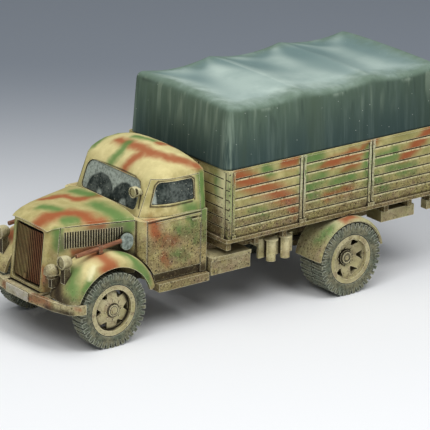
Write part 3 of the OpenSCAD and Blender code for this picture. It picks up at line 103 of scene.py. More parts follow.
class Board:
    """A node tree with short calls for the nodes that the finishes use."""

    FLAT_TURN = 0.985
    SHARP_TURN = 0.8
    MIDDLE = (0.5, 0.5, 0.5)

    def __init__(self, tree: bpy.types.NodeTree) -> None:
        """Keeps the tree that the calls add to."""
        self.tree = tree

    def add(self, kind: str, feeds: Feeds | None = None, **settings: object) -> bpy.types.Node:
        """Adds a node.

        Args:
            kind: The node's type name.
            feeds: What its inputs take, by their name or number.
            settings: Properties of the node.

        Returns:
            The new node.
        """
        node = self.tree.nodes.new(kind)
        for name, value in settings.items():
            setattr(node, name, value)
        for socket, value in (feeds or {}).items():
            self.feed(node.inputs[socket], value)
        return node

    def feed(self, socket: Socket, value: object) -> None:
        """Links a socket to another, or sets it to a constant.

        Args:
            socket: The input.
            value: What it takes, a socket or a constant.
        """
        if isinstance(value, bpy.types.NodeSocket):
            self.tree.links.new(value, socket)
        else:
            socket.default_value = value

    def math(self, operation: str, first: Value, second: Value = 0.0, clamp: bool = False) -> Socket:
        """Works out a number from one or two others."""
        feeds = {0: first, 1: second}
        return self.add("ShaderNodeMath", feeds, operation=operation, use_clamp=clamp).outputs[0]

    def times(self, first: Value, second: Value) -> Socket:
        """Multiplies two numbers."""
        return self.math("MULTIPLY", first, second)

    def vector(self, operation: str, first: object, second: object) -> Socket:
        """Works out a vector from two others."""
        return self.add("ShaderNodeVectorMath", {0: first, 1: second}, operation=operation).outputs[0]

    def scaled(self, first: object, factor: Value) -> Socket:
        """Scales a vector."""
        return self.add("ShaderNodeVectorMath", {0: first, "Scale": factor}, operation="SCALE").outputs[0]

    def measure(self, operation: str, first: object, second: object = (0.0, 0.0, 0.0)) -> Socket:
        """Works out a number from one or two vectors."""
        return self.add("ShaderNodeVectorMath", {0: first, 1: second}, operation=operation).outputs["Value"]

    def ramp(self, value: Value, low: float, high: float) -> Socket:
        """Eases a number from 0 at low to 1 at high."""
        feeds = {"Value": value, "From Min": low, "From Max": high}
        return self.add("ShaderNodeMapRange", feeds, interpolation_type="SMOOTHSTEP").outputs["Result"]

    def mix(self, share: Value, first: object, second: object) -> Socket:
        """Lays one colour over another by a share."""
        return self.add("ShaderNodeMix", {0: share, 6: first, 7: second}, data_type="RGBA").outputs[2]

    def lay(self, colour: object, mask: Value, code: str, cover: float = 1.0) -> Socket:
        """Lays a paint over a colour by a mask."""
        return self.mix(self.times(mask, cover), colour, paint(code))

    def coat(self, colour: object, pattern: Value, layer: Layer, within: Value = 1.0) -> Socket:
        """Lays a layer over a colour where a pattern reaches it, kept within a mask."""
        mask = self.times(self.ramp(pattern, layer.start, layer.full), within)
        return self.lay(colour, mask, layer.code, layer.cover)

    def noise(self, at: Socket, pattern: Pattern, output: str = "Fac") -> Socket:
        """Gives a cloud pattern at a place in millimetres, as a number or a colour."""
        feeds = {"Vector": at, "Scale": pattern.scale, "Detail": pattern.detail, "Roughness": pattern.rough}
        return self.add("ShaderNodeTexNoise", feeds).outputs[output]

    def unsettle(self, at: Socket, pattern: Pattern, amount: float) -> Socket:
        """Moves a place about by a little noise."""
        drift = self.vector("SUBTRACT", self.noise(at, pattern, "Color"), self.MIDDLE)
        return self.vector("ADD", at, self.scaled(drift, amount))

    def dots(self, at: Socket, scale: float, size: float) -> Socket:
        """Masks round specks, so many in a millimetre and each a share of its cell in radius."""
        node = self.add("ShaderNodeTexVoronoi", {"Vector": at, "Scale": scale})
        return self.ramp(node.outputs["Distance"], size, size / 3)

    def place(self) -> Socket:
        """Gives the place on the model in millimetres, which rides with a piece that moves."""
        return self.scaled(self.add("ShaderNodeTexCoord").outputs["Object"], PER_MM)

    def stretch(self, at: Socket, factors: Point) -> Socket:
        """Scales a place along each axis, to draw a pattern out."""
        return self.vector("MULTIPLY", at, factors)

    def parts(self, vector: Socket) -> tuple[Socket, Socket, Socket]:
        """Splits a vector into its three numbers."""
        return tuple(self.add("ShaderNodeSeparateXYZ", {0: vector}).outputs)

    def upward(self) -> Socket:
        """Gives how far the surface faces up, from -1 to 1."""
        return self.parts(self.add("ShaderNodeNewGeometry").outputs["Normal"])[2]

    def hollow(self, reach_mm: float) -> Socket:
        """Masks the crevices that other surfaces shade within a reach."""
        shade = self.add("ShaderNodeAmbientOcclusion", {"Distance": reach_mm * MM}, samples=8)
        return self.math("SUBTRACT", 1.0, shade.outputs["AO"], clamp=True)

    def edge(self, radius_mm: float) -> Socket:
        """Masks the sharp edges that take painted highlights, as a dry brush would catch them.

        Args:
            radius_mm: How far the brush reaches over an edge.

        Returns:
            A mask, 1 along the edges.
        """
        bent = self.add("ShaderNodeBevel", {"Radius": radius_mm * MM}, samples=6).outputs[0]
        flat = self.add("ShaderNodeNewGeometry").outputs["Normal"]
        return self.ramp(self.measure("DOT_PRODUCT", bent, flat), self.FLAT_TURN, self.SHARP_TURN)

    def bump(self, height: Value, depth_mm: float, strength: float) -> Socket:
        """Turns a height pattern into a bent normal."""
        feeds = {"Height": height, "Distance": depth_mm * MM, "Strength": strength}
        return self.add("ShaderNodeBump", feeds).outputs[0]


def new_tree(name: str, kind: str, inputs: dict[str, str],
             output: tuple[str, str]) -> tuple[Board, dict[str, str]]:
    """Starts a node group with its sockets.

    Args:
        name: The group's name.
        kind: Shader or Geometry.
        inputs: The kind of each input by its name.
        output: The output's name and kind.

    Returns:
        The group's board, and the identifier of each input by its name.
    """
    tree = bpy.data.node_groups.new(name, kind + "NodeTree")
    new = partial(tree.interface.new_socket, in_out="INPUT")
    sockets = {label: new(label, socket_type="NodeSocket" + sort).identifier
               for label, sort in inputs.items()}
    tree.interface.new_socket(output[0], in_out="OUTPUT", socket_type="NodeSocket" + output[1])
    return Board(tree), sockets


class Hue(Enum):
    """Colours that the spray gun and the brush lay over the base coat, painted highlights and painted shade
    among them.
    """

    BROWN = "9e4b28"
    GREEN = "567f40"
    STEEL_HIGHLIGHT = "c6c3a2"
    PAINTED_HIGHLIGHT = "e6dfae"
    SHADOW = "69644f"
    EARTH = "56462e"
    RUST = "642f1c"
    SEAM_AND_SHADE = "2b2117"
    RIDGE = "ddd3a4"


# Dark seam lines with dark passes of painted shade, and pale lines of painted highlight, drawn broken.
BROKEN_LINES = {Hue.SEAM_AND_SHADE: (0.2, 0.45), Hue.RIDGE: (0.3, 0.6)}


@dataclass(frozen=True)
class Stroke:
    """One soft pass of the spray gun along a broken line, in millimetres."""

    hue: Hue
    radius: float
    points: tuple[Point, ...]


def spray(hue: Hue, radius: float, *points: Point) -> Stroke:
    """Gives one pass of a colour along some points."""
    return Stroke(hue, radius, points)


def both(stroke: Stroke) -> tuple[Stroke, Stroke]:
    """Gives a stroke and its mirror image on the truck's other side."""
    return stroke, spray(stroke.hue, stroke.radius, *((x, -y, z) for x, y, z in stroke.points))


@cache
def spray_pass(outer: float = 1.5, core: float = 0.15) -> bpy.types.NodeTree:
    """Builds the group that masks what lies near a straight pass of the spray gun.

    Args:
        outer: Where the mist ends, as a share of the pass's radius.
        core: Where the paint is full, as a share of the pass's radius.

    Returns:
        The group, with a place, a start, a span and a radius as inputs.
    """
    inputs = {"Place": "Vector", "Start": "Vector", "Span": "Vector", "Radius": "Float"}
    board, _ = new_tree("spray_pass", "Shader", inputs, ("Mask", "Float"))
    given = board.add("NodeGroupInput").outputs
    span = given["Span"]
    away = board.vector("SUBTRACT", given["Place"], given["Start"])
    along = board.measure("DOT_PRODUCT", away, span)
    share = board.math("DIVIDE", along, board.measure("DOT_PRODUCT", span, span), clamp=True)
    distance = board.measure("DISTANCE", away, board.scaled(span, share))
    reach = board.math("DIVIDE", distance, given["Radius"])
    board.add("NodeGroupOutput", {"Mask": board.ramp(reach, outer, core)})
    return board.tree


@dataclass(frozen=True)
class Finish:
    """A finish that draws its own look, with its relief's depth in millimetres and strength."""

    name: str

    RELIEF = (0.1, 0.6)

    def look(self, board: Board) -> Look:
        """Draws the look and gives what the shader's inputs take."""
        raise NotImplementedError(self.name)

    def build(self) -> bpy.types.Material:
        """Makes the material.

        Returns:
            The finished material.
        """
        material = bpy.data.materials.new(self.name)
        material.use_nodes = True
        shader = material.node_tree.nodes["Principled BSDF"]
        board = Board(material.node_tree)
        for socket, value in self.look(board).items():
            board.feed(shader.inputs[socket], value)
        return material


@dataclass(frozen=True)
class Mud:
    """How thick the mud is, and the heights in millimetres where it ends and is full."""

    share: float = 0.8
    high: float = 26.0
    low: float = 13.0


@dataclass(frozen=True)
class FieldPaint(Finish):
    """Matt paint with sprayed camouflage, mud, dark washes that also paint shade into crevices and
    underneath, and dry-brush edges and upward faces painted paler as painted highlights.
    """

    base: str = "b0a168"
    light: str = "ddd096"
    shade: str = "97925a"
    wash_shade: str = "33271a"
    edge: str = "ece4be"
    wash_shade_reach: float = 0.9
    edge_reach: float = 0.22
    grime_and_shade: float = 0.5
    upward_highlight: float = 0.7
    strokes: tuple[Stroke, ...] = ()
    mud: Mud = Mud()
    still: bool = True
    rings: tuple[tuple[Point, float], ...] = ()

    CLOUD = Pattern(0.11)
    PATCH = Pattern(0.5, 4.0, 0.6)
    FINE = Pattern(1.5, 4.0, 0.65)
    GRAIN = Pattern(3.0, 2.0, 0.7)
    SHAKE = Pattern(0.3, 2.0)
    SHAKE_MM = 2.4
    MOTTLE = (0.3, 0.75)
    SPRAY_COVER = 0.88
    LINE_COVER = 0.9
    RING_PLANE = (1.0, 0.0, 1.0)
    GRIME_SHADE_REACH = 5.0
    GRIME_SHADE_PATCH = (0.2, 0.7)
    CREVICE_SHADE = (0.2, 0.52)
    WASH_SHADE_COVER = 0.94
    BRUSHED_HIGHLIGHT = (0.3, 0.5)
    BRUSHED_HIGHLIGHT_COVER = 0.9
    CLOD_RELIEF = 0.7
    GRAIN_RELIEF = 0.3
    MUD_DRIFT_MM = 7.0
    MUD_PATCH = (0.3, 0.65)
    VEIL = Pattern(0.4, 3.0, 0.6)
    FILMS = (
        Layer(0.4, 0.62, "96855c", 0.7), Layer(0.5, 0.66, "a08672", 0.6), Layer(0.52, 0.68, "aca45f", 0.55))
    BLOTS = Pattern(0.9, 4.0, 0.65)
    BLOT = Layer(0.5, 0.62, "5e4c31", 0.45)
    THICK = Layer(0.35, 0.9, "64543a", 0.34)
    CRUMBS = Pattern(2.9, 3.0, 0.72)
    CRUMB_LEAN = 0.1
    CRUMB_SHAKE_MM = 0.5
    CLOD = Layer(0.63, 0.71, "4b3a25", 0.85)
    CLOD_GAIN = 1.7
    CHIP = Layer(0.68, 0.75, "cfc188", 0.8)
    RUST = Layer(0.7, 0.78, "8a5c38", 0.7)
    SPECKS = (
        (1.35, 0.31, "3b2d1c"), (1.2, 0.2, "d3c897"), (0.85, 0.27, "20170e"))
    SPECK_COVER = 0.9
    SPATTER = 0.05

    def sprayed(self, board: Board, place: Socket, hue: Hue) -> Value:
        """Joins the passes of one colour.

        Args:
            board: The board to build on.
            place: The place in millimetres.
            hue: The colour whose passes are joined.

        Returns:
            A mask of that colour.
        """
        mask: Value = 0.0
        for stroke in (s for s in self.strokes if s.hue is hue):
            for start, end in zip(stroke.points, stroke.points[1:]):
                feeds = {"Place": place, "Start": start, "Span": Vector(end) - Vector(start),
                         "Radius": stroke.radius}
                node = board.add("ShaderNodeGroup", feeds, node_tree=spray_pass())
                mask = board.math("MAXIMUM", mask, node.outputs["Mask"])
        return mask

    def muddiness(self, board: Board, place: Socket, cloud: Socket, patch: Socket) -> Socket:
        """Gives how muddy the paint is: more toward the ground on what stands still.

        Args:
            board: The board to build on.
            place: The place in millimetres.
            cloud: A broad pattern that moves the mud's edge.
            patch: A finer pattern for what turns.

        Returns:
            A mask of the mud.
        """
        if not self.still:
            return board.times(board.ramp(patch, *self.MUD_PATCH), self.mud.share)
        drift = board.times(board.math("SUBTRACT", cloud, 0.5), self.MUD_DRIFT_MM)
        height = board.math("ADD", board.parts(place)[2], drift)
        return board.times(board.ramp(height, self.mud.high, self.mud.low), self.mud.share)

    def soiled(self, board: Board, place: Socket, colour: Socket, mud: Socket) -> tuple[Socket, Socket]:
        """Lays dust, dried clods and splashes of several tints over the paint.

        Args:
            board: The board to build on.
            place: The place in millimetres.
            colour: The paint so far.
            mud: How muddy the place is.

        Returns:
            The soiled colour and a mask of the clods.
        """
        for share, film in zip(board.parts(board.noise(place, self.VEIL, "Color")), self.FILMS):
            colour = board.coat(colour, share, film, mud)
        colour = board.coat(colour, board.noise(place, self.BLOTS), self.BLOT, mud)
        colour = board.coat(colour, mud, self.THICK)
        crumbs = board.noise(place, self.CRUMBS, "Color")
        lean = board.times(mud, self.CRUMB_LEAN)
        dark, pale_part, warm = (board.math("ADD", part, lean) for part in board.parts(crumbs))
        clod = board.times(board.ramp(dark, self.CLOD.start, self.CLOD.full),
                           board.math("MULTIPLY", mud, self.CLOD_GAIN, clamp=True))
        colour = board.lay(colour, clod, self.CLOD.code, self.CLOD.cover)
        colour = board.coat(colour, pale_part, self.CHIP, mud)
        colour = board.coat(colour, warm, self.RUST, mud)
        shaken = board.vector("ADD", place, board.scaled(crumbs, self.CRUMB_SHAKE_MM))
        thrown = board.math("ADD", mud, self.SPATTER)
        for scale, size, code in self.SPECKS:
            speck = board.times(board.dots(shaken, scale, size), thrown)
            colour = board.lay(colour, speck, code, self.SPECK_COVER)
        return colour, clod

    def camouflaged(self, board: Board, place: Socket, colour: Socket) -> Socket:
        """Sprays the soft passes of each colour over the base coat, painted highlights and painted shadow
        among them.

        Args:
            board: The board to build on.
            place: The place in millimetres.
            colour: The base coat.

        Returns:
            The camouflaged colour.
        """
        unsettled = board.unsettle(place, self.SHAKE, self.SHAKE_MM)
        for hue in (h for h in Hue if h not in BROKEN_LINES):
            colour = board.lay(colour, self.sprayed(board, unsettled, hue), hue.value, self.SPRAY_COVER)
        return colour

    def lined(self, board: Board, place: Socket, colour: Socket, fine: Socket) -> Socket:
        """Draws the dark seam lines, the dark passes of painted shade and the pale lines of painted
        highlight along panels, broken by a fine pattern, and the hubs' rings.

        Args:
            board: The board to build on.
            place: The place in millimetres.
            colour: The paint so far.
            fine: The pattern that breaks the lines.

        Returns:
            The colour with its lines.
        """
        for hue, span in BROKEN_LINES.items() if self.strokes else ():
            drawn = board.times(self.sprayed(board, place, hue), board.ramp(fine, *span))
            colour = board.lay(colour, drawn, hue.value, self.LINE_COVER)
        for centre, radius in self.rings:
            away = board.stretch(board.vector("SUBTRACT", place, centre), self.RING_PLANE)
            reach = board.math("SUBTRACT", board.measure("LENGTH", away), radius)
            colour = board.coat(colour, board.math("ABSOLUTE", reach), Layer(0.32, 0.1, self.wash_shade, 0.85))
        return colour

    def look(self, board: Board) -> Look:
        """Draws the paint from its base coat to its dry-brush edges, with painted highlights on tops and
        edges and painted shade underneath and in crevices.

        Args:
            board: The board to build on.

        Returns:
            What the shader's inputs take.
        """
        place = board.place()
        cloud, patch, fine, grain = (
            board.noise(place, pattern) for pattern in (self.CLOUD, self.PATCH, self.FINE, self.GRAIN))
        colour = board.mix(board.ramp(patch, *self.MOTTLE), paint(self.base), paint(self.light))
        colour = board.coat(colour, cloud, Layer(0.4, 0.65, self.shade, 0.55))
        if self.still:
            # Painted highlight: faces that look up are painted paler, toward the light colour.
            colour = board.coat(colour, board.upward(), Layer(0.2, 0.95, self.light, self.upward_highlight))
        if self.strokes:
            colour = self.camouflaged(board, place, colour)
        mud = self.muddiness(board, place, cloud, patch)
        colour, clod = self.soiled(board, place, colour, mud)
        colour = self.lined(board, place, colour, fine)
        if self.still:
            # Painted shade: faces that look down are darkened toward the dark colour.
            colour = board.coat(colour, board.upward(), Layer(0.0, -0.9, self.wash_shade, 0.65))
        # Painted shade: hollows within a few millimetres darken to brown, broken by a pattern; partly dirt.
        colour = board.coat(colour, board.hollow(self.GRIME_SHADE_REACH), Layer(0.25, 0.85, "4f3e28", self.grime_and_shade),
                            board.ramp(patch, *self.GRIME_SHADE_PATCH))
        # Painted shade: tight crevices that other surfaces shade are darkened.
        crevice_shade = board.ramp(board.hollow(self.wash_shade_reach), *self.CREVICE_SHADE)
        colour = board.lay(colour, crevice_shade, self.wash_shade, self.WASH_SHADE_COVER)
        # Painted highlight: pale colour on sharp edges, kept out of the shaded crevices.
        brushed_highlight = board.times(board.edge(self.edge_reach), board.ramp(fine, *self.BRUSHED_HIGHLIGHT))
        clear = board.math("SUBTRACT", self.BRUSHED_HIGHLIGHT_COVER, crevice_shade, clamp=True)
        colour = board.lay(colour, board.times(brushed_highlight, clear), self.edge)
        relief = board.math("ADD", board.times(clod, self.CLOD_RELIEF),
                            board.times(grain, self.GRAIN_RELIEF))
        return {"Base Color": colour, "Roughness": 0.82, "Specular IOR Level": 0.25,
                "Normal": board.bump(relief, *self.RELIEF)}


@dataclass(frozen=True)
class DustyFinish(Finish):
    """Dark rubber or metal whose raised parts hold pale dust, with painted shade in crevices and painted
    highlights on its edges.
    """

    deep: str
    raised: str
    dust: str
    # Pale edge colour: partly wear, partly painted highlight.
    worn: str
    roughness: float = 0.85

    CLOUD = Pattern(0.35)
    FINE = Pattern(2.0, 3.0, 0.65)
    MOTTLE = (0.3, 0.7)
    SETTLED = (0.25, 0.6)
    CREVICE_SHADE_MM = 0.8
    EDGE_HIGHLIGHT_MM = 0.32
    EDGE_HIGHLIGHT_COVER = 0.85

    def look(self, board: Board) -> Look:
        """Draws the dark base, the dust, painted shade in crevices and pale edges that are partly wear and
        partly painted highlight.

        Args:
            board: The board to build on.

        Returns:
            What the shader's inputs take.
        """
        place = board.place()
        cloud, fine = board.noise(place, self.CLOUD), board.noise(place, self.FINE)
        colour = board.mix(board.ramp(fine, *self.MOTTLE), paint(self.deep), paint(self.raised))
        colour = board.coat(colour, cloud, Layer(0.35, 0.7, self.dust, 0.7), board.ramp(fine, *self.SETTLED))
        # Painted shade: crevices darkened to the deep colour.
        colour = board.coat(colour, board.hollow(self.CREVICE_SHADE_MM), Layer(0.25, 0.8, self.deep))
        # Painted highlight, partly wear: pale sharp edges.
        colour = board.lay(colour, board.edge(self.EDGE_HIGHLIGHT_MM), self.worn, self.EDGE_HIGHLIGHT_COVER)
        return {"Base Color": colour, "Roughness": self.roughness, "Specular IOR Level": 0.2,
                "Normal": board.bump(fine, *self.RELIEF)}


@dataclass(frozen=True)
class DustyGlass(Finish):
    """Dark painted panes with dust outside the arcs that two wipers sweep."""

    pivots: tuple[Point, ...]
    screen_x: float
    inner_r: float = 1.4
    outer_r: float = 4.9
    soft: float = 0.8
    outer_soft: Pair = (0.8, 0.2)
    front_soft: float = 0.2

    RELIEF = (0.03, 0.4)
    FINE = Pattern(1.6, 4.0, 0.7)
    CLOUD = Pattern(0.3, 2.0)
    DUSTED = (0.1, 0.75)
    FILM = (0.8, 1.35)
    FILM_COVER = 0.22
    FLECK = (1.1, 0.2)
    FLECK_COVER = 0.6
    CREVICE_SHADE = Layer(0.3, 0.9, "141814")
    CREVICE_SHADE_MM = 1.0
    GLOSS = 0.3

    def look(self, board: Board) -> Look:
        """Draws the dark pane, its dust, the wiped arcs and painted shade in hollows.

        Args:
            board: The board to build on.

        Returns:
            What the shader's inputs take.
        """
        place = board.place()
        fine, cloud = board.noise(place, self.FINE), board.noise(place, self.CLOUD)
        swept: Value = 0.0
        far, full = (self.outer_r + step for step in self.outer_soft)
        for pivot in self.pivots:
            reach = board.math("ADD", board.measure("DISTANCE", place, pivot), cloud)
            band = board.times(board.ramp(reach, far, full),
                               board.ramp(reach, self.inner_r, self.inner_r + self.soft))
            swept = board.math("MAXIMUM", swept, band)
        along = board.parts(place)[0]
        front = board.ramp(along, self.screen_x - self.front_soft, self.screen_x + self.front_soft)
        dusty = board.times(front, board.math("SUBTRACT", 1.0, swept))
        dusty = board.times(dusty, board.ramp(fine, *self.DUSTED))
        film = board.times(board.ramp(board.math("ADD", fine, cloud), *self.FILM), self.FILM_COVER)
        colour = board.mix(board.math("MAXIMUM", dusty, film), paint("202925"), paint("b2bcb0"))
        colour = board.lay(colour, board.dots(place, *self.FLECK), "b9bba6", self.FLECK_COVER)
        # Painted shade in hollows.
        colour = board.coat(colour, board.hollow(self.CREVICE_SHADE_MM), self.CREVICE_SHADE)
        rough = board.ramp(board.math("ADD", dusty, self.GLOSS), 0.0, 1.0)
        return {"Base Color": colour, "Roughness": rough, "Specular IOR Level": 0.25,
                "Normal": board.bump(fine, *self.RELIEF)}


@dataclass(frozen=True)
class CanvasFinish(Finish):
    """Matt slate-green canvas, painted paler on top and toward the front and near side as painted light,
    streaked down its sides and darker toward its foot.
    """

    low: Point
    high: Point
    border: Pair = (-0.6, 8.0)

    RELIEF = (0.08, 0.5)
    WEAVE = Pattern(5.0, 2.0, 0.6)
    WEAVE_RELIEF = 0.45
    STREAK_RELIEF = 0.5
    STREAK = Pattern(0.9, 4.0, 0.6)
    STREAK_DRAW = (1.0, 1.0, 0.05)
    BROAD = Pattern(0.13)
    BROAD_DRAW = (1.0, 1.0, 0.2)
    FOLD_SHADING = Pattern(0.34, 2.0)
    FOLD_SHADING_DRAW = (1.0, 1.0, 0.12)
    SWAY = Pattern(0.3, 4.0, 0.6)
    SWAY_MM = 7.0
    HUNG = (0.15, 0.95)
    LIT_SIDE_WAY = (0.4, 1.0, 0.0)
    LIT_SIDE_MM = (-26.0, 20.0)
    RIDGE_SHARE = 0.5
    TOP_HIGHLIGHT_SPAN = (-0.4, 1.3)
    FACING = (0.25, 0.92)
    STEEP = (0.6, 0.2)
    RIDGE_HIGHLIGHT_STREAK = (0.3, 0.6)
    # Painted highlight on ridges of steep cloth, and painted shade in its creases.
    WORN = Layer(0.15, 1.0, "9fb09d", 0.75)
    CREASE_SHADE = Layer(-0.2, -1.0, "1f2926", 0.8)
    CREVICE_SHADE = Layer(0.3, 0.85, "1f2926", 0.7)
    CREVICE_SHADE_MM = 1.6
    FLECK = (0.5, 0.075)
    FLECK_COVER = 0.6

    def inland(self, board: Board, place: Socket) -> Socket:
        """Masks the top away from its four edges.

        Args:
            board: The board to build on.
            place: The place in millimetres.

        Returns:
            A mask that grows from 0 at an edge to 1 inland.
        """
        spans = zip(board.parts(place)[:2], self.low, self.high)
        gaps = [board.math("SUBTRACT", *ends) for at, low, high in spans for ends in ((at, low), (high, at))]
        return board.ramp(reduce(partial(board.math, "MINIMUM"), gaps), *self.border)

    def look(self, board: Board) -> Look:
        """Draws the streaked sides with painted fold shading, the top painted paler as painted light,
        painted highlights on ridges and painted shade in creases and hollows.

        Args:
            board: The board to build on.

        Returns:
            What the shader's inputs take.
        """
        place = board.place()
        streak, broad, fold = (
            board.noise(board.stretch(place, draw), pattern) for pattern, draw in
            ((self.STREAK, self.STREAK_DRAW), (self.BROAD, self.BROAD_DRAW), (self.FOLD_SHADING, self.FOLD_SHADING_DRAW)))
        ridge = board.add("ShaderNodeAttribute", attribute_name=CanvasCover.RIDGE).outputs["Fac"]
        facing = board.upward()
        along, _, up = board.parts(place)
        height = board.ramp(up, self.low[2], self.high[2])
        hung = board.ramp(height, *self.HUNG)
        side = board.mix(height, paint("364845"), paint("586a59"))
        for pattern, layer, within in (
                (streak, Layer(0.45, 0.75, "71827a", 0.28), 1.0),
                (streak, Layer(0.46, 0.25, "2b3a38", 0.25), 1.0),
                (broad, Layer(0.45, 0.7, "4b5943", 0.4), 1.0),
                (along, Layer(0.0, -50.0, "2c3c39", 0.35), 1.0),
                # Painted highlight and painted shade: pale and dark bands on the hanging cloth that stand in
                # for light on folds.
                (fold, Layer(0.54, 0.66, "8b9a86", 0.42), hung),
                (fold, Layer(0.44, 0.32, "26332f", 0.42), hung)):
            side = board.coat(side, pattern, layer, within)
        # Painted light: the top is paler toward the front and near side, and paler on fold ridges than in
        # their hollows.
        near = board.ramp(board.measure("DOT_PRODUCT", place, self.LIT_SIDE_WAY), *self.LIT_SIDE_MM)
        top_highlight_and_shade = board.math("ADD", board.times(ridge, self.RIDGE_SHARE), near)
        top = board.mix(board.ramp(top_highlight_and_shade, *self.TOP_HIGHLIGHT_SPAN), paint("6f8684"), paint("b9cac0"))
        top = board.coat(top, broad, Layer(0.4, 0.7, "7d948f", 0.35))
        swayed = board.unsettle(place, self.SWAY, self.SWAY_MM)
        top = board.mix(self.inland(board, swayed), paint("667a69"), top)
        # Painted highlight: faces that look up take the paler top colour.
        colour = board.mix(board.ramp(facing, *self.FACING), side, top)
        # Painted highlight on ridges of steep cloth, painted shade in its creases.
        steep = board.ramp(facing, *self.STEEP)
        ridge_highlight_mask = board.times(steep, board.ramp(streak, *self.RIDGE_HIGHLIGHT_STREAK))
        colour = board.coat(colour, ridge, self.WORN, ridge_highlight_mask)
        colour = board.coat(colour, ridge, self.CREASE_SHADE, steep)
        # Painted shade in hollows.
        colour = board.coat(colour, board.hollow(self.CREVICE_SHADE_MM), self.CREVICE_SHADE)
        colour = board.lay(colour, board.dots(place, *self.FLECK), "ccd2c6", self.FLECK_COVER)
        weave = board.times(board.noise(place, self.WEAVE), self.WEAVE_RELIEF)
        relief = board.math("ADD", weave, board.times(streak, self.STREAK_RELIEF))
        return {"Base Color": colour, "Roughness": 0.88, "Specular IOR Level": 0.22,
                "Normal": board.bump(relief, *self.RELIEF)}


@dataclass(frozen=True)
class ToolFinish(Finish):
    """Stained handle and steel head, told apart by their place along the tool."""

    head_x: float
    blend: float = 0.1

    RELIEF = (0.06, 0.6)
    GRAIN = Pattern(1.4, 4.0)
    GRAIN_DRAW = (0.15, 1.6, 1.6)
    WORN = Pattern(1.2)
    STAIN = (0.3, 0.75)
    RUBBED = (0.3, 0.7)
    EDGE_HIGHLIGHT_MM = 0.2
    EDGE_HIGHLIGHT_COVER = 0.5
    CREVICE_SHADE_MM = 1.2

    def look(self, board: Board) -> Look:
        """Draws the handle, the head and their wear, with painted highlights on edges and painted shade in
        hollows.

        Args:
            board: The board to build on.

        Returns:
            What the shader's inputs take.
        """
        place = board.place()
        grain = board.noise(board.stretch(place, self.GRAIN_DRAW), self.GRAIN)
        handle = board.mix(board.ramp(grain, *self.STAIN), paint("5f3523"), paint("a06c48"))
        worn = board.ramp(board.noise(place, self.WORN), *self.RUBBED)
        steel_face = board.mix(worn, paint("5b6760"), paint("98a49b"))
        head = board.ramp(board.parts(place)[0], self.head_x + self.blend, self.head_x - self.blend)
        colour = board.mix(head, handle, steel_face)
        # Painted highlight on edges, and painted shade in hollows.
        colour = board.lay(colour, board.edge(self.EDGE_HIGHLIGHT_MM), "d8cfae", self.EDGE_HIGHLIGHT_COVER)
        colour = board.coat(colour, board.hollow(self.CREVICE_SHADE_MM), Layer(0.25, 0.7, "2a1e14"))
        return {"Base Color": colour, "Roughness": 0.72, "Normal": board.bump(grain, *self.RELIEF)}


@dataclass(frozen=True)
class FloorFinish(Finish):
    """Pale floor that darkens away from the camera."""

    azimuth: float
    depth_mm: Pair = (-20.0, 190.0)

    def look(self, board: Board) -> Look:
        """Draws the floor.

        Args:
            board: The board to build on.

        Returns:
            What the shader's inputs take.
        """
        turn = math.radians(self.azimuth)
        depth = board.measure("DOT_PRODUCT", board.place(), (-math.sin(turn), math.cos(turn), 0.0))
        colour = board.mix(board.ramp(depth, *self.depth_mm), paint("f2f3f4"), paint("8b929b"))
        return {"Base Color": colour, "Roughness": 0.9, "Specular IOR Level": 0.1}


def add_piece(name: str, body: str, mesh: bpy.types.Mesh) -> bpy.types.Object:
    """Links a mesh as a finished piece that rides on a body.

    Args:
        name: The piece's name.
        body: The body that it rides on.
        mesh: The piece's mesh.

    Returns:
        The new object.
    """
    piece = bpy.data.objects.new(name, mesh)
    bpy.context.scene.collection.objects.link(piece)
    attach(piece, body)
    LOG.info("%s: %d faces on %s", name, len(mesh.polygons), body)
    return piece


def mesh_from(name: str, bm: bmesh.types.BMesh, material: bpy.types.Material) -> bpy.types.Mesh:
    """Turns a bmesh in millimetres into a mesh with a finish.

    Args:
        name: The mesh's name.
        bm: The bmesh, which is freed.
        material: Its finish.

    Returns:
        The new mesh.
    """
    bmesh.ops.transform(bm, matrix=Matrix.Scale(MM, 4), verts=bm.verts)
    mesh = bpy.data.meshes.new(name)
    bm.to_mesh(mesh)
    bm.free()
    mesh.materials.append(material)
    return mesh


def node_box_mm(*names: str) -> tuple[Vector, Vector]:
    """Gives the box round some nodes together.

    Args:
        names: The nodes' names.

    Returns:
        Its lowest and highest corners in millimetres.
    """
    boxes = [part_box(name) for name in names]
    low = Vector([min(b[0][i] for b in boxes) for i in range(3)]) * PER_MM
    high = Vector([max(b[1][i] for b in boxes) for i in range(3)]) * PER_MM
    return low, high


def middle_mm(*names: str) -> Vector:
    """Gives the middle of the box round some nodes, in millimetres."""
    low, high = node_box_mm(*names)
    return (low + high) / 2


def share_of(value: float, low: float, high: float) -> float:
    """Gives how far a number is on the way from low to high, kept from 0 to 1."""
    return min(max((value - low) / (high - low), 0.0), 1.0)


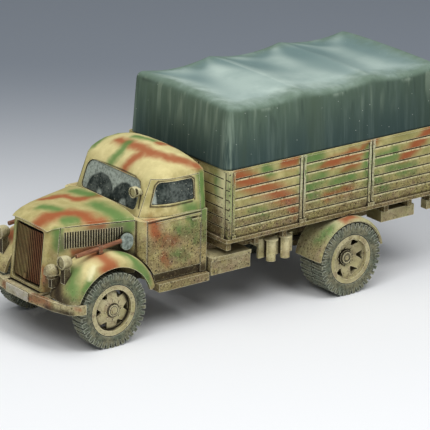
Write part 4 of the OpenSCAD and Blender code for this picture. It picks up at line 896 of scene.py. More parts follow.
class Softener:
    """Geometry nodes that weld a panel's triangles and shade it smooth up to a corner angle."""

    def __init__(self, corner_degrees: float = 32.0, weld_mm: float = 0.002) -> None:
        """Builds the group.

        Args:
            corner_degrees: Angle past which an edge stays sharp.
            weld_mm: Gap that is welded.
        """
        inputs = {"Geometry": "Geometry", "Corner Angle": "Float"}
        board, self.sockets = new_tree("soften_panel", "Geometry", inputs, ("Geometry", "Geometry"))
        given = board.add("NodeGroupInput").outputs
        feeds = {"Geometry": given["Geometry"], "Distance": weld_mm * MM}
        weld = board.add("GeometryNodeMergeByDistance", feeds)
        smooth = board.add("GeometryNodeSetShadeSmooth", {"Geometry": weld.outputs[0], "Shade Smooth": True})
        angle = board.add("GeometryNodeInputMeshEdgeAngle").outputs["Unsigned Angle"]
        sharp = board.add("FunctionNodeCompare", {0: angle, 1: given["Corner Angle"]},
                          data_type="FLOAT", operation="GREATER_THAN")
        feeds = {"Geometry": smooth.outputs[0], "Name": "sharp_edge", "Value": sharp.outputs[0]}
        keep = board.add("GeometryNodeStoreNamedAttribute", feeds, data_type="BOOLEAN", domain="EDGE")
        board.add("NodeGroupOutput", {0: keep.outputs[0]})
        self.tree = board.tree
        self.corner = math.radians(corner_degrees)

    def soften(self, piece: bpy.types.Object) -> None:
        """Adds the group to a piece.

        Args:
            piece: The object that is shaded smooth.
        """
        modifier = piece.modifiers.new("soften", "NODES")
        modifier.node_group = self.tree
        modifier[self.sockets["Corner Angle"]] = self.corner


class HeadShape(Enum):
    """Shape of a small fastener's head, as the sides of its outline."""

    ROUND = 10
    HEX = 6


@dataclass(frozen=True)
class Head:
    """A small fastener's head in millimetres, with its top's radius as a share of its foot's."""

    shape: HeadShape
    radius: float
    height: float
    crown: float = 0.7


def stud(x: float, y: float, z: float, side: int) -> Spot:
    """Gives a place on a side face, 1 for the left and -1 for the right, and the way out from it."""
    return Vector((x, side * y, z)), Vector((0, side, 0))


class Fasteners:
    """Geometry nodes that set a small head on each point, standing along the point's own direction."""

    FACING = "facing"

    def __init__(self) -> None:
        """Builds the group with the head's sides, radius, height, crown and finish as inputs."""
        inputs = {"Geometry": "Geometry", "Sides": "Int", "Radius": "Float", "Height": "Float",
                  "Crown": "Float", "Material": "Material"}
        board, self.sockets = new_tree("fastener_heads", "Geometry", inputs, ("Geometry", "Geometry"))
        given = board.add("NodeGroupInput").outputs
        feeds = {"Vertices": given["Sides"], "Radius Bottom": given["Radius"],
                 "Radius Top": board.times(given["Radius"], given["Crown"]), "Depth": given["Height"]}
        head = board.add("GeometryNodeMeshCone", feeds)
        feeds = {"Name": self.FACING}
        facing = board.add("GeometryNodeInputNamedAttribute", feeds, data_type="FLOAT_VECTOR")
        turn = board.add("FunctionNodeAlignRotationToVector", {"Vector": facing.outputs[0]}, axis="Z")
        feeds = {"Points": given["Geometry"], "Instance": head.outputs["Mesh"], "Rotation": turn.outputs[0]}
        place = board.add("GeometryNodeInstanceOnPoints", feeds)
        real = board.add("GeometryNodeRealizeInstances", {0: place.outputs[0]})
        feeds = {"Geometry": real.outputs[0], "Material": given["Material"]}
        board.add("NodeGroupOutput", {0: board.add("GeometryNodeSetMaterial", feeds).outputs[0]})
        self.tree = board.tree

    def scatter(self, name: str, body: str, slot: str, spots: Iterable[Spot], head: Head,
                material: bpy.types.Material) -> None:
        """Sets the heads and turns them into one plain mesh.

        Args:
            name: The piece's name.
            body: The body that it rides on.
            slot: Not used.
            spots: Places of the heads in millimetres, each with the way that it faces.
            head: Shape and size of a head.
            material: The heads' finish.
        """
        places, ways = zip(*spots)
        points = bpy.data.meshes.new(name + "_points")
        points.from_pydata([tuple(at * MM) for at in places], [], [])
        facing = points.attributes.new(self.FACING, "FLOAT_VECTOR", "POINT")
        for item, way in zip(facing.data, ways):
            item.vector = way
        carrier = bpy.data.objects.new(name + "_carrier", points)
        bpy.context.scene.collection.objects.link(carrier)
        modifier = carrier.modifiers.new("heads", "NODES")
        modifier.node_group = self.tree
        values = {"Sides": head.shape.value, "Radius": head.radius * MM, "Height": head.height * MM,
                  "Crown": head.crown, "Material": material}
        for label, value in values.items():
            modifier[self.sockets[label]] = value
        graph = bpy.context.evaluated_depsgraph_get()
        mesh = bpy.data.meshes.new_from_object(carrier.evaluated_get(graph))
        bpy.data.objects.remove(carrier)
        bpy.data.meshes.remove(points)
        mesh.name = name
        add_piece(name, body, mesh)


brown = partial(spray, Hue.BROWN)
green = partial(spray, Hue.GREEN)
# Pale passes are painted highlights.
pale = partial(spray, Hue.PAINTED_HIGHLIGHT)
earth = partial(spray, Hue.EARTH)
# Pale passes along the steel straps that paint a highlight on them.
steel = partial(spray, Hue.STEEL_HIGHLIGHT)
shadow = partial(spray, Hue.SHADOW)
rust = partial(spray, Hue.RUST)
# Wide dark passes paint shade under the doors, lamps and bumper and in gaps.
dark = partial(spray, Hue.SEAM_AND_SHADE)
seam = partial(dark, 0.26)
# Thin pale lines of painted highlight along raised edges.
moulding_highlight = partial(spray, Hue.RIDGE, 0.2)


def plank_edges(planks: int = 7, proud: float = 0.6, below: float = 0.34) -> tuple[Stroke, ...]:
    """Draws a dark line along each groove of the side boards and a pale line of painted highlight along the
    edge below it.

    Args:
        planks: Planks in a board's height.
        proud: How far the straps' feet stand out from the planks.
        below: Drop from a groove's middle to the pale line under it.

    Returns:
        The lines on both sides.
    """
    low, high = node_box_mm("side_board_left")
    foot = node_box_mm("bed_floor")[1].z
    face = high.y - proud
    lines = []
    for i in range(1, planks):
        for line, drop in ((seam, 0.0), (moulding_highlight, below)):
            z = foot + (high.z - foot) / planks * i - drop
            lines += both(line((low.x, face, z), (high.x, face, z)))
    return tuple(lines)


CAB_STROKES = (
    green(1.5, (14.4, 14.6, 34.4), (14.3, 14.8, 31.3), (14.1, 15.1, 29), (14.2, 15.6, 25.6), (14, 15.6, 20)),
    green(1.1, (18.6, 15.7, 26), (16.4, 15.6, 23.7), (16.2, 15.6, 20)),
    green(1.5, (21.8, -2.8, 39.1), (24.4, -2.4, 37.6), (26.6, -2.4, 35.8)),
    green(1.5, (18.8, -4, 39.8), (17.4, 1, 39.8)),
    brown(1.7, (21.8, -6.4, 38.9), (21.8, 1.7, 39.1), (21.6, 6.3, 38.9), (19, 11, 38.5), (14.6, 13.6, 36.6)),
    brown(1.7, (22.3, 3.7, 38.9), (24.4, 3.3, 37.7), (26.8, 2.8, 35.8)),
    brown(1.4, (17.4, 3, 39.6), (14.6, 3.6, 38.4)),
    brown(1.9, (28.6, 15.4, 27.4), (27.5, 15.6, 24.8), (26.3, 15.6, 21.7), (22.2, 15.6, 21.4)),
    green(1.7, (19.6, 15.6, 28.8), (16.6, 15.6, 27.8)),
    green(2.0, (21.2, 15.6, 23.6), (17.6, 15.6, 22.4)),
    green(1.8, (22, 15.6, 18), (19.6, 15.6, 17)),
    brown(1.5, (25, 15.6, 18.4), (24, 15.6, 16.6)),
    green(2.0, (18, -15.6, 28), (22, -15.6, 23.5)),
    brown(2.2, (28, -15.6, 25), (23.5, -15.6, 18.5), (18, -15.6, 17)),
    brown(2.0, (13.3, 9, 34), (13.3, 3, 25), (13.3, -5, 19)),
    green(1.9, (13.3, -11, 33), (13.3, -8, 26)),
    green(1.8, (18, -11, 37.8), (24, -12, 36)),
    # Painted shade along the sills under the doors.
    *both(dark(1.5, (14, 15.2, 13.2), (30, 15.2, 13.2))),
    seam((17.2, 15.2, 29.4), (23.2, 14.95, 29.3), (25.6, 14.3, 29.4), (27.4, 13.3, 29.5), (26, 12.95, 34),
         (25.2, 13.2, 34.9), (22.7, 14.1, 35), (17.3, 14.6, 35), (16.4, 14.6, 34.4), (16.5, 15.2, 29.8)),
    seam((29.4, -9.5, 28.6), (28.4, -10.1, 30.8), (27.7, -9.6, 33.6), (27.3, -7.6, 34.6), (27.1, -2.8, 34.9),
         (27.1, 2.8, 35), (27.1, 7.3, 34.9), (27.5, 9.5, 34.3), (28.4, 11, 31.9), (29.2, 11.4, 29)),
    *both(moulding_highlight((15, 15.6, 27.2), (31, 15.2, 27.2))),
    *both(seam((15, 15.6, 34.8), (15, 15.6, 14.2), (29.7, 15.6, 14.2), (29.7, 15.6, 27.1))),
    *both(seam((15, 15.6, 26.7), (29.7, 15.6, 26.7))),
    seam((31.2, 13.4, 27), (31.2, 13.4, 15)),
)
BONNET_STROKES = (
    brown(1.7, (42.4, -6.2, 28.6), (38.2, -4.8, 29), (37.4, -0.6, 29.2), (31.6, -0.6, 29)),
    brown(2.4, (50.2, 3, 27.2), (47.5, 3.5, 28.5), (42.3, 5.7, 28.8), (40.9, 8.5, 28.3), (39.2, 10.6, 27.1)),
    green(2.2, (33.8, -5.8, 28.9), (33, -1.8, 29.2)),
    green(2.8, (35.6, 4.8, 29.1), (34.9, 8.6, 28.7), (34.3, 11.9, 27.4)),
    green(1.5, (32.4, 12.4, 26.9), (33.4, 12.2, 24)),
    green(1.9, (46.1, -1.8, 28.9), (44.4, 1.6, 29)),
    green(1.5, (45.8, 7.2, 28.1), (43.9, 7.9, 28.2)),
    green(1.5, (48.1, 7.3, 25.9), (47.8, 7.6, 22)),
    brown(1.3, (51.4, 6.4, 17.6), (51.6, 6.6, 13)),
    brown(1.1, (44.4, 8.8, 21), (38.6, 10.8, 22)),
    shadow(2.3, (46, 7.9, 23.4), (35, 11.9, 24.6)),
    shadow(2.0, (46, -7.9, 23.4), (35, -11.9, 24.6)),
    # Painted shade in the gap beside the radiator's foot.
    dark(0.9, (50.5, 7.6, 17.5), (50.8, 7.6, 12.4)),
    green(1.7, (49.6, -7, 24), (49, -7.4, 17)),
    brown(2.0, (42, -9.6, 26.5), (38, -10.8, 22), (36, -11.5, 19)),
    green(2.2, (33.5, -12.2, 26), (36, -11.4, 24)),
)
FENDER_STROKES = (
    brown(2.2, (41.8, 12.6, 21.2), (41.3, 15.3, 21), (40.6, 16.8, 19.8), (41.5, 17.1, 19)),
    green(1.9, (35.9, 14, 20.8), (33.4, 16.8, 18.3), (30.8, 17.2, 14.2)),
    green(2.5, (48, 12.6, 18.8), (49.5, 14.6, 16.2), (50, 16.2, 13.8)),
    green(1.2, (46.4, 17.2, 17), (47.6, 17.2, 15.2), (48.3, 17.2, 13.6)),
    # Painted highlight on the fender's front crest.
    pale(0.8, (44.6, 15.8, 19.6), (46, 16.7, 17.8)),
    earth(2.2, (50.8, 10.4, 16.5), (51.2, 11.6, 13)),
    # Painted shade at the fender's front foot, in its gap to the radiator and along its joint with the
    # bonnet.
    dark(1.7, (51.2, 10.6, 14.6), (51.2, 12.4, 12.8), (51, 14.6, 12.4)),
    dark(1.3, (50.2, 8.9, 19.6), (50.8, 9, 12.6)),
    dark(0.8, (46, 9.4, 20.6), (36, 12.4, 20.8), (31.6, 13.2, 18)),
    brown(1.3, (30.6, 13.4, 16.6), (29.2, 15, 14)),
    brown(2.0, (47, -12, 19.4), (45.4, -15, 18), (44.6, -17, 16)),
    green(2.0, (40, -12.4, 21.4), (37.4, -15, 20.4), (35, -16.8, 17.6)),
    brown(1.6, (31.6, -14, 17), (29.6, -16, 14)),
)
BED_STROKES = (
    brown(2.7, (7.4, 18.7, 34.2), (2, 18.7, 31.6), (-3.4, 18.7, 28.6), (-8.6, 18.7, 25.4)),
    brown(1.7, (-6.4, 18.7, 26.4), (-10, 18.7, 22)),
    brown(1.6, (-6.4, 18.7, 35), (-9.6, 18.7, 34.6)),
    green(1.9, (-0.6, 18.7, 34.8), (-2.4, 18.7, 33.4)),
    green(1.4, (2.4, 18.7, 25.4), (-1, 18.7, 23.4), (1.6, 18.7, 22)),
    green(2.2, (-12.4, 18.7, 35), (-16, 18.7, 34.2)),
    green(2.0, (-12.2, 18.7, 31), (-12.8, 18.7, 28), (-15.4, 18.7, 25)),
    brown(1.6, (-17.4, 18.7, 32.2), (-24, 18.7, 32.8), (-29.4, 18.7, 33.4)),
    brown(1.5, (-23.6, 18.7, 29), (-27.6, 18.7, 31)),
    brown(1.5, (-29.4, 18.7, 34.4), (-32.6, 18.7, 35.4)),
    green(1.9, (-31, 18.7, 33.6), (-31.4, 18.7, 25)),
    green(2.1, (-34, 18.7, 30), (-39, 18.7, 31)),
    brown(1.9, (-42, 18.7, 29.4), (-47, 18.7, 33), (-50.4, 18.7, 35.4)),
    brown(1.6, (-19, 18.7, 24.4), (-26, 18.7, 25.4)),
    brown(2.2, (4, -18.7, 34), (-6, -18.7, 30.6), (-12, -18.7, 25)),
    green(2.1, (-2, -18.7, 25), (2, -18.7, 29)),
    green(2.2, (-18, -18.7, 34), (-24, -18.7, 29.6)),
    brown(1.9, (-26, -18.7, 33), (-34, -18.7, 30), (-38, -18.7, 25)),
    green(2.0, (-42, -18.7, 34), (-47, -18.7, 29)),
    brown(2.1, (-53.4, 12, 34), (-53.4, 3, 29), (-53.4, -2, 24)),
    green(2.1, (-53.4, -6, 34), (-53.4, -13, 28)),
    green(1.4, (9.7, 14.6, 33), (9.7, 15, 29)),
    # Painted highlight that brightens the headboard's end in the cab's shade.
    pale(2.2, (9.7, 17, 35), (9.7, 16.4, 24)),
    green(1.9, (9.6, 18.3, 34), (9.6, 18.3, 20)),
    earth(1.8, (9.7, 14, 25), (9.7, 15, 20)),
    brown(2.0, (9.6, -3, 33), (9.6, -12, 27)),
    green(2.4, (-13, 18.7, 27), (-17.4, 18.7, 29.6)),
    green(2.2, (-21, 18.7, 27), (-26, 18.7, 28)),
    green(2.0, (-34, 18.7, 26), (-36, 18.7, 23)),
    green(1.9, (-38, 18.7, 27.6), (-45, 18.7, 26)),
    # Pale strap passes: painted highlight on the straps.
    *(steel(0.5, (x, 18.8, 20), (x, 18.8, 35.6)) for x in (-11.1, -12.1, -31.5, -32.6)),
)
GRILLE_STROKES = (rust(3.4, (52, 3.2, 12), (50.6, 3.2, 27)),)
BUMPER_STROKES = (
    brown(1.0, (53.6, -6, 10.6), (53.6, 9, 10.8)),
    brown(1.5, (53, 6, 11.6), (52.6, 10.4, 11)),
    brown(0.8, (50, 17.6, 11.4), (49.4, 17.6, 11)),
    # Painted shade along the bumper's outer end.
    dark(0.9, (52.6, 10, 10.2), (51, 16.6, 10.2)),
)
LAMP_STROKES = (
    # Painted shade under the lamps' feet.
    dark(1.5, (51.6, 9.9, 15.8), (51.7, 10.4, 13.2)),
    *both(dark(1.3, (49.7, 12.1, 18.2), (50.3, 12.4, 14.8))),
)
GUARD_STROKES = (
    green(2.0, (-16, 19, 14.6), (-18.6, 20, 17)),
    brown(1.6, (-23, 20, 18.6), (-25.6, 20, 18.6)),
    green(1.9, (-20, -19, 17.4), (-24, -20, 18.6)),
    brown(1.8, (-30, -20, 17), (-33, -20, 14)),
)
WIPER_SETBACK = 0.6
WIPER_Y = (5.4, -3.6)
WIPER_Z = 28.0
SCREEN_DEPTH = 3.4
TOOL_HEAD = 3.2
FRONT_RING = 1.5
REAR_RINGS = (1.5, 0.8)


def mixed_finishes() -> Kit:
    """Mixes every finish on the model.

    Returns:
        The materials by their short names.
    """
    screen_x = node_box_mm("glazing")[1].x
    wipers = tuple((screen_x - WIPER_SETBACK, y, WIPER_Z) for y in WIPER_Y)
    cover = (tuple(corner) for corner in node_box_mm("canvas"))
    front_hub = tuple(middle_mm("tyre_front_left", "tyre_front_right"))
    rear_hub = tuple(middle_mm("tyres_rear_left", "tyres_rear_right"))
    rings = ((front_hub, FRONT_RING), *((rear_hub, radius) for radius in REAR_RINGS))
    planked = BED_STROKES + plank_edges()
    finishes = {
        "cab": FieldPaint("cab_paint", strokes=CAB_STROKES, mud=Mud(0.85, 29.5, 20)),
        "bonnet": FieldPaint("bonnet_paint", "a4965c", "cabd84", strokes=BONNET_STROKES, upward_highlight=0.3,
                             mud=Mud(0.6, 25, 13)),
        "louvre": FieldPaint("louvre_paint", strokes=BONNET_STROKES, wash_shade="1c1811", wash_shade_reach=2.4,
                             mud=Mud(0.55, 24, 13)),
        "fender": FieldPaint("fender_paint", strokes=FENDER_STROKES, mud=Mud(0.7, 19, 11)),
        "bed": FieldPaint("bed_paint", "a1965b", "c5b97e", "83864f", wash_shade="241b11", edge="e6dcae",
                          wash_shade_reach=1.3, edge_reach=0.28, strokes=planked, mud=Mud(0.95, 32, 20)),
        "guard": FieldPaint("guard_paint", "a5a171", "cbc799", strokes=GUARD_STROKES, mud=Mud(0.75, 21, 11)),
        # Painted paler than the other fittings to counter the shade under the bed: painted light.
        "can": FieldPaint("can_paint", "d0c493", "ece2b4", mud=Mud(0.5, 18, 11)),
        "step": FieldPaint("step_paint", "8f845a", "ab9f72", mud=Mud(0.9, 20, 13)),
        "bumper": FieldPaint("bumper_paint", "a89a6e", "ded4a8", strokes=BUMPER_STROKES, upward_highlight=0.9,
                             mud=Mud(0.65, 18, 10)),
        "fittings": FieldPaint("fittings_paint", "a2986f", "c6bd92", mud=Mud(0.8, 19, 11)),
        "lamp": FieldPaint("lamp_paint", "7d7554", "cbc39b", strokes=LAMP_STROKES, upward_highlight=0.9, wash_shade_reach=1.5,
                           grime_and_shade=0.8, mud=Mud(0.9, 24, 16)),
        "chassis": FieldPaint("chassis_paint", "6f6142", "948458", mud=Mud(0.9, 30, 19)),
        "wheel": FieldPaint("wheel_paint", "b6ad84", "d0c79f", wash_shade="1c150d", wash_shade_reach=1.5, mud=Mud(0.7),
                            rings=rings, still=False),
        "grille": FieldPaint("grille_paint", "59512f", "7d7346", wash_shade="120c08", edge="96653f",
                             wash_shade_reach=1.8, strokes=GRILLE_STROKES, mud=Mud(0.2)),
        "plate": FieldPaint("plate_paint", "aaa596", "c4bfb1", mud=Mud(0.6, 14, 8)),
        "rubber": DustyFinish("tyre_rubber", "3a3c33", "6c7462", "8b8467", "bcc0ad"),
        "metal": DustyFinish("dark_metal", "26231e", "453d30", "6d6048", "7b705a", 0.7),
        "interior": DustyFinish("interior_paint", "2f2a20", "4d4532", "6d6248", "857a5e"),
        "canvas": CanvasFinish("canvas_cloth", *cover),
        "glass": DustyGlass("dusty_glass", wipers, screen_x - SCREEN_DEPTH),
        "tool": ToolFinish("tool_finish", node_box_mm("shovel")[0].x + TOOL_HEAD),
    }
    return {coat: finish.build() for coat, finish in finishes.items()}


@dataclass
class SubAssembly:
    """Solids that are dressed together, with the finishes and node groups that they share."""

    kit: Kit
    softener: Softener
    fasteners: Fasteners

    COATS: ClassVar[dict[str, str]] = {}

    def build(self) -> None:
        """Gives each solid its finish."""
        for coat, names in self.COATS.items():
            self.dress(coat, *names.split())

    def dress(self, coat: str, *names: str) -> None:
        """Gives a finish to some solids and shades them smooth.

        Args:
            coat: The finish's short name.
            names: The solids' names.
        """
        for name in names:
            node = NODES[name]
            node.data.materials.clear()
            node.data.materials.append(self.kit[coat])
            self.softener.soften(node)
            LOG.info("%s: %s", name, self.kit[coat].name)


@dataclass
class Chassis(SubAssembly):
    """Frame, drive, axles and what hangs under the bed."""

    rivet: Head = Head(HeadShape.ROUND, 0.22, 0.16)
    rivet_inset: float = 0.7
    plate_x: Pair = (27.5, 33.5)
    plate_z: Pair = (12.5, 15.6)
    plate_t: float = 0.3
    plate_inset: float = 1.4

    COATS = {
        "chassis": "chassis_frame front_axle rear_axle bed_bearers cross_bearers bed_floor",
        "metal": "power_unit drive_shaft exhaust leaf_springs",
        "fittings": "toolboxes rear_boxes",
        "step": "running_boards",
        "bumper": "front_bumper",
        "guard": "rear_mudguards",
        "can": "canisters",
        "plate": "number_plate",
    }

    def build(self) -> None:
        """Dresses the solids, rivets the toolboxes and adds the splash plates."""
        super().build()
        self.rivet_boxes()
        self.splash_plates()

    def rivet_boxes(self) -> None:
        """Sets a dark rivet near each corner of the toolboxes' outer faces."""
        low, high = node_box_mm("toolboxes")
        inset = self.rivet_inset
        spots = [stud(x, high.y, z, side) for side in SIDES for x in (low.x + inset, high.x - inset)
                 for z in (low.z + inset, high.z - inset)]
        self.fasteners.scatter("toolbox_rivets", CHASSIS, "dark_metal", spots, self.rivet, self.kit["metal"])

    def splash_plates(self) -> None:
        """Closes the gap between each bonnet side and the cab behind the front wheel."""
        outer = node_box_mm("bonnet_sides")[1].y - self.plate_inset
        bm = bmesh.new()
        for side in SIDES:
            corners = [(x, side * y, z) for x in self.plate_x for y in (outer - self.plate_t, outer)
                       for z in self.plate_z]
            bmesh.ops.convex_hull(bm, input=[bm.verts.new(corner) for corner in corners])
        bmesh.ops.recalc_face_normals(bm, faces=bm.faces)
        add_piece("splash_plates", CHASSIS, mesh_from("splash_plates", bm, self.kit["metal"]))


@dataclass
class Cab(SubAssembly):
    """Cab shell, doors, glass and what is inside."""

    COATS = {
        "cab": "cab_shell door_left door_right",
        "glass": "glazing",
        "interior": "cab_floor seat dashboard steering_wheel",
    }


@dataclass
class Front(SubAssembly):
    """Bonnet, radiator, fenders, lamps and tools."""

    COATS = {
        "bonnet": "bonnet radiator_surround",
        "louvre": "bonnet_sides",
        "grille": "grille",
        "fender": "fender_left fender_right",
        "lamp": "headlamps blackout_lamp pillar_lamp",
        "tool": "shovel pick",
    }


@dataclass
class LoadBed(SubAssembly):
    """Planked boards with bolted straps."""

    panels: int = 3
    panel_gap: float = 0.12
    strap_inset: float = 0.14
    strap_w: float = 0.6
    strap_foot: float = 0.3
    bolt: Head = Head(HeadShape.ROUND, 0.2, 0.22)
    bolts: int = 7
    edge_rivets: int = 10

    COATS = {"bed": "side_board_left side_board_right headboard tailboard"}

    def strap_places(self) -> list[float]:
        """Gives the middles of the side boards' straps.

        Returns:
            Their places along X in millimetres.
        """
        low, high = node_box_mm("side_board_left")
        length = (high.x - low.x - self.panel_gap * (self.panels - 1)) / self.panels
        inset = self.strap_inset + self.strap_w / 2
        starts = [low.x + (length + self.panel_gap) * i for i in range(self.panels)]
        return [x for start in starts for x in (start + inset, start + length - inset)]

    @staticmethod
    def heights(name: str, count: int) -> list[float]:
        """Shares a node's height out evenly and gives the middle of each share."""
        low, high = node_box_mm(name)
        return [low.z + (high.z - low.z) / count * (i + 0.5) for i in range(count)]

    def build(self) -> None:
        """Dresses the boards, bolts their straps and rivets the headboard's ends."""
        super().build()
        face = node_box_mm("side_board_left")[1].y - self.strap_foot
        heights = self.heights("side_board_left", self.bolts)
        spots = [stud(x, face, z, side) for side in SIDES for x in self.strap_places() for z in heights]
        self.fasteners.scatter("strap_bolts", CHASSIS, "sand_paint", spots, self.bolt, self.kit["bed"])
        end = node_box_mm("headboard")[1].y
        heights = self.heights("headboard", self.edge_rivets)
        spots = [stud(middle_mm("headboard").x, end, z, side) for side in SIDES for z in heights]
        self.fasteners.scatter("headboard_rivets", CHASSIS, "dark_metal", spots, self.bolt,
                               self.kit["metal"])


@dataclass
class CanvasCover(SubAssembly):
    """Canvas stretched over its bows, sagging between them and creased under its edges."""

    bays: int = 3
    sag: float = 1.2
    crown: float = 0.45
    headroom: float = 0.06
    edge_r: float = 2.0
    lean: float = 0.6
    flare: float = 0.8
    step: float = 0.5
    weld: float = 0.01
    thickness: float = 0.45
    fold: float = 0.15
    draw: float = 0.35
    side_billow: float = 0.16
    end_billow: float = 0.14
    crease_depth: float = 0.32
    crease_w: float = 0.28
    crease_fall: float = 2.0
    crease_gap: float = 4.6
    crease_top: float = 0.3

    RIDGE = "ridge"
    TINY = 1e-6
    FAR_FAN = (15.0, 8.0)
    NEAR_FAN = (7.0, 7.0)
    FAN_EYE = 0.3
    FAN_SWIRL = 0.11
    FAN_SHIFT = 1.7
    FAN_START = 3.0
    FAN_GAIN = 1.5
    CLOUD_DRAW = (0.16, 0.07)
    CLOUD_GAIN = 0.5
    BILLOW_DRAW = (0.2, 0.2, 0.06)
    CREASE_SEED = (2.3, 0.5, 9.0)
    HIGHLIGHT_PATCH_SHARE = 0.6
    CREASE_SHADE_GAIN = 1.4
    CORNER_HIGHLIGHT = 0.9
    CORNER_TOP = 0.5

    def __post_init__(self) -> None:
        """Takes the plain solid's box, less the room that the crown takes."""
        self.low, self.high = node_box_mm("canvas")
        self.high.z -= self.crown + self.headroom
        self.middle = (self.low + self.high) / 2
        self.half = (self.high - self.low) / 2

    def rounded(self, at: Vector) -> Vector:
        """Moves a point of the plain box onto the box with round edges.

        Args:
            at: The point in millimetres.

        Returns:
            The moved point.
        """
        radius, low, high = self.edge_r, self.low, self.high
        core = Vector((min(max(at.x, low.x + radius), high.x - radius),
                       min(max(at.y, low.y + radius), high.y - radius),
                       min(at.z, high.z - radius)))
        away = at - core
        return core + away.normalized() * radius if away.length > self.TINY else at

    def bay(self, at_x: float) -> tuple[int, float]:
        """Gives the bay that a place lies in and the share of the way along it.

        Args:
            at_x: The place along X.

        Returns:
            The bay's number and the share.
        """
        along = (at_x - self.low.x) / (self.high.x - self.low.x) * self.bays
        index = min(max(int(along), 0), self.bays - 1)
        return index, min(max(along - index, 0.0), 1.0)

    def bow_x(self, count: float) -> float:
        """Gives the place along X after so many bays."""
        return self.low.x + (self.high.x - self.low.x) * count / self.bays

    def folds(self, at: Vector) -> float:
        """Gives the folds that fan over the top from each bow's ends.

        Args:
            at: The point in millimetres.

        Returns:
            The height of the folds there, from about -1 to 1.
        """
        total = 0.0
        for k in range(self.bays + 1):
            for end_y, (reach, rays) in ((self.low.y, self.FAR_FAN), (self.high.y, self.NEAR_FAN)):
                away = Vector((at.x - self.bow_x(k), at.y - end_y))
                length = away.length
                if length < self.FAN_EYE:
                    continue
                turn = math.atan2(away.x, abs(away.y))
                swoop = turn * rays + self.FAN_SWIRL * length * math.copysign(1.0, turn) + self.FAN_SHIFT * k
                total += math.sin(swoop) * math.exp(-length / reach) * length / (length + self.FAN_START)
        cloud = noise.noise(Vector((at.x * self.CLOUD_DRAW[0], at.y * self.CLOUD_DRAW[1], 1.0)))
        return self.FAN_GAIN * total + self.CLOUD_GAIN * cloud

    def creases(self, at: Vector) -> Pair:
        """Gives the short creases under a side's top edge at the middle of each bay.

        Args:
            at: The point in millimetres.

        Returns:
            How deep the creases are there, and how strong the painted highlight on the cloth between them
            is.
        """
        index, _ = self.bay(at.x)
        seed, seed_y, seed_z = self.CREASE_SEED
        away = at.x - (self.bow_x(index + 0.5) + noise.noise(Vector((index * seed, seed_y, seed_z))))
        drop = max(self.high.z - at.z - self.crease_top, 0.0)
        fade = math.exp(-(drop / self.crease_fall) ** 2)
        depth = sum(math.exp(-((away - way * self.crease_gap) / self.crease_w) ** 2) for way in (-0.5, 0.5))
        # Painted highlight on the cloth between a bay's creases.
        between = max(0.0, 1 - abs(away) / (self.HIGHLIGHT_PATCH_SHARE * self.crease_gap))
        return depth * fade, min(between * 2, 1.0) * fade

    def displaced(self, at: Vector) -> tuple[Vector, float]:
        """Sags, folds and leans one point of the rounded box.

        Args:
            at: The point in millimetres.

        Returns:
            The point in its final place, and a ridge value for the shading: the folds' height, painted
            highlight between creases and on corners, and painted shade in creases.
        """
        _, share = self.bay(at.x)
        slack = 4 * share * (1 - share)
        middle, half, band = self.middle, self.half, 2 * self.edge_r
        up = share_of(at.z, self.low.z, self.high.z)
        top = share_of(at.z, self.high.z - band, self.high.z)
        side = share_of(abs(at.y), half.y - band, half.y)
        end = share_of(abs(at.x - middle.x), half.x - band, half.x)
        across = at.y / half.y
        x = middle.x + (at.x - middle.x) * (1 - self.flare / half.x * up)
        y = at.y * (1 - self.lean / half.y * up)
        fold = self.folds(at)
        z = at.z + top * (self.crown * (1 - across * across) - self.sag * slack)
        z += top * (1 - side) * self.fold * fold * math.sqrt(slack)
        depth, worn = self.creases(at)
        draw_x, draw_y, draw_z = self.BILLOW_DRAW
        billow = noise.noise(Vector((x * draw_x, y * draw_y, z * draw_z))) * math.sin(math.pi * up)
        pull = self.draw * slack * up * up + self.crease_depth * depth - self.side_billow * billow
        y -= math.copysign(side * pull, y)
        x += math.copysign(end * self.end_billow * billow, x - middle.x)
        flat_end = end * (1 - side)
        # Ridge value for the shading: fold height, painted highlight between creases and on corners, painted
        # shade in creases.
        ridge = top * (1 - side) * fold + (1 - flat_end) * side * (worn - self.CREASE_SHADE_GAIN * depth)
        return Vector((x, y, z)), ridge + side * end * (self.CORNER_HIGHLIGHT - self.CORNER_TOP * top)

    def plain_box(self) -> bmesh.types.BMesh:
        """Builds the box as five fine grids, open below.

        Returns:
            The mesh in millimetres.
        """
        bm = bmesh.new()
        low, high = self.low, self.high
        size = high - low
        counts = [max(2, round(length / self.step)) for length in size]
        for first, second, level in ((0, 1, high.z), (0, 2, low.y), (0, 2, high.y),
                                     (1, 2, low.x), (1, 2, high.x)):
            grid = []
            for i in range(counts[first] + 1):
                at = [level] * 3
                at[first] = low[first] + size[first] * i / counts[first]
                row = []
                for j in range(counts[second] + 1):
                    at[second] = low[second] + size[second] * j / counts[second]
                    row.append(bm.verts.new(at))
                grid.append(row)
            for near, far in zip(grid, grid[1:]):
                for j in range(counts[second]):
                    bm.faces.new((near[j], far[j], far[j + 1], near[j + 1]))
        bmesh.ops.remove_doubles(bm, verts=bm.verts, dist=self.weld)
        return bm

    def build(self) -> None:
        """Makes the cover in place of its plain solid."""
        bm = self.plain_box()
        layer = bm.verts.layers.float.new(self.RIDGE)
        for vert in bm.verts:
            vert.co, vert[layer] = self.displaced(self.rounded(vert.co))
        bmesh.ops.recalc_face_normals(bm, faces=bm.faces)
        for face in bm.faces:
            face.smooth = True
        mesh = mesh_from("canvas_cover", bm, self.kit["canvas"])
        piece = add_piece("canvas_cover", CHASSIS, mesh)
        wall = piece.modifiers.new("wall", "SOLIDIFY")
        wall.thickness = self.thickness * MM
        wall.offset = -1.0
        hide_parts("canvas")


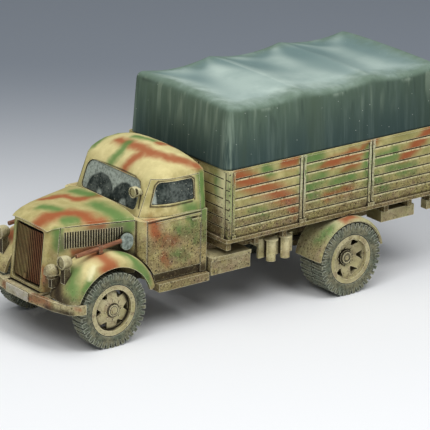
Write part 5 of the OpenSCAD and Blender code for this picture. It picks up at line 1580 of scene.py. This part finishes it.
@dataclass
class Wheels(SubAssembly):
    """Wheels and tyres with their nuts."""

    nuts: int = 8
    nut_circle_r: float = 2.2
    nut: Head = Head(HeadShape.HEX, 0.18, 0.3, 0.85)

    NUT_INSETS = {"front": 0.65, "rear": 2.42}

    def build(self) -> None:
        """Dresses each wheel and sets its nuts."""
        for end, plural in (("front", ""), ("rear", "s")):
            for side, way in zip(("left", "right"), SIDES):
                wheel = f"wheel{plural}_{end}_{side}"
                tyre = f"tyre{plural}_{end}_{side}"
                self.dress("wheel", wheel)
                self.dress("rubber", tyre)
                low, high = node_box_mm(tyre)
                face = max(high.y, -low.y) - self.NUT_INSETS[end]
                self.set_nuts(wheel, f"{end}_{side}_wheel{plural}", face, way)

    def set_nuts(self, wheel: str, body: str, face: float, side: int) -> None:
        """Sets a circle of nuts round a wheel's cap.

        Args:
            wheel: The wheel's solid.
            body: The body that it turns on.
            face: How far out the nuts stand.
            side: 1 on the left, -1 on the right.
        """
        middle = middle_mm(wheel)
        turns = [math.tau * i / self.nuts for i in range(self.nuts)]
        spots = [stud(middle.x + self.nut_circle_r * math.cos(turn), face,
                      middle.z + self.nut_circle_r * math.sin(turn), side) for turn in turns]
        self.fasteners.scatter(f"{wheel}_nuts", body, "wheel_paint", spots, self.nut, self.kit["wheel"])


@dataclass(frozen=True)
class Studio:
    """Floor, backdrop, lights and camera."""

    azimuth: float = 142.0
    elevation: float = 19.3
    roll: float = 1.2
    distance_mm: float = 693.9
    target_mm: Point = (3.95, 6.51, 20.99)
    lens_mm: float = 255.3
    sensor_mm: float = 36.0
    clip_mm: float = 10.0
    floor_half_mm: float = 4000.0
    sky: Colour = (0.86, 0.9, 0.95, 1.0)
    sky_strength: float = 0.28

    LIGHTS = (("key", (40, 40, 520), 300, 0.65), ("front_fill", (340, 210, 490), 280, 1.35),
              ("side_fill", (-40, 350, 490), 280, 1.35))

    def camera(self) -> None:
        """Sets the camera where the picture was taken from."""
        turn, rise, roll = (math.radians(v) for v in (self.azimuth, self.elevation, self.roll))
        back = Vector((math.sin(turn) * math.cos(rise), -math.cos(turn) * math.cos(rise), math.sin(rise)))
        right = (-back).cross(Vector((0, 0, 1))).normalized()
        up = right.cross(-back)
        across = right * math.cos(roll) + up * math.sin(roll)
        upright = up * math.cos(roll) - right * math.sin(roll)
        data = bpy.data.cameras.new("camera")
        data.lens = self.lens_mm
        data.sensor_width = self.sensor_mm
        data.clip_start = self.clip_mm * MM
        camera = bpy.data.objects.new("camera", data)
        place = Vector(self.target_mm) * MM + back * self.distance_mm * MM
        turned = Matrix((across, upright, back)).transposed().to_4x4()
        camera.matrix_world = Matrix.Translation(place) @ turned
        bpy.context.scene.collection.objects.link(camera)
        bpy.context.scene.camera = camera

    def floor(self) -> None:
        """Lays the pale floor."""
        bm = bmesh.new()
        bmesh.ops.create_grid(bm, x_segments=1, y_segments=1, size=self.floor_half_mm)
        mesh = mesh_from("studio_floor", bm, FloorFinish("pale_floor", self.azimuth).build())
        floor = bpy.data.objects.new("studio_floor", mesh)
        bpy.context.scene.collection.objects.link(floor)

    def light(self, name: str, at_mm: Point, size_mm: float, watts: float) -> None:
        """Hangs a square soft light that faces the model.

        Args:
            name: The light's name.
            at_mm: Its place.
            size_mm: Its width.
            watts: Its power.
        """
        data = bpy.data.lights.new(name, "AREA")
        data.size = size_mm * MM
        data.energy = watts
        lamp = bpy.data.objects.new(name, data)
        lamp.location = Vector(at_mm) * MM
        way = Vector(self.target_mm) * MM - lamp.location
        lamp.rotation_euler = way.to_track_quat("-Z", "Y").to_euler()
        bpy.context.scene.collection.objects.link(lamp)

    def build(self) -> None:
        """Sets up the whole studio."""
        scene = bpy.context.scene
        scene.view_settings.view_transform = "Standard"
        scene.world = bpy.data.worlds.new("studio_world")
        scene.world.use_nodes = True
        backdrop = scene.world.node_tree.nodes["Background"].inputs
        backdrop["Color"].default_value = self.sky
        backdrop["Strength"].default_value = self.sky_strength
        self.camera()
        self.floor()
        for light in self.LIGHTS:
            self.light(*light)


def main() -> None:
    """Builds and dresses the model, then reports each piece."""
    logging.basicConfig(level=logging.INFO, format="%(name)s: %(message)s")
    shared = (mixed_finishes(), Softener(), Fasteners())
    Studio().build()
    for assembly in (Chassis, Cab, Front, LoadBed, CanvasCover, Wheels):
        assembly(*shared).build()


if __name__ == "__main__":
    main()
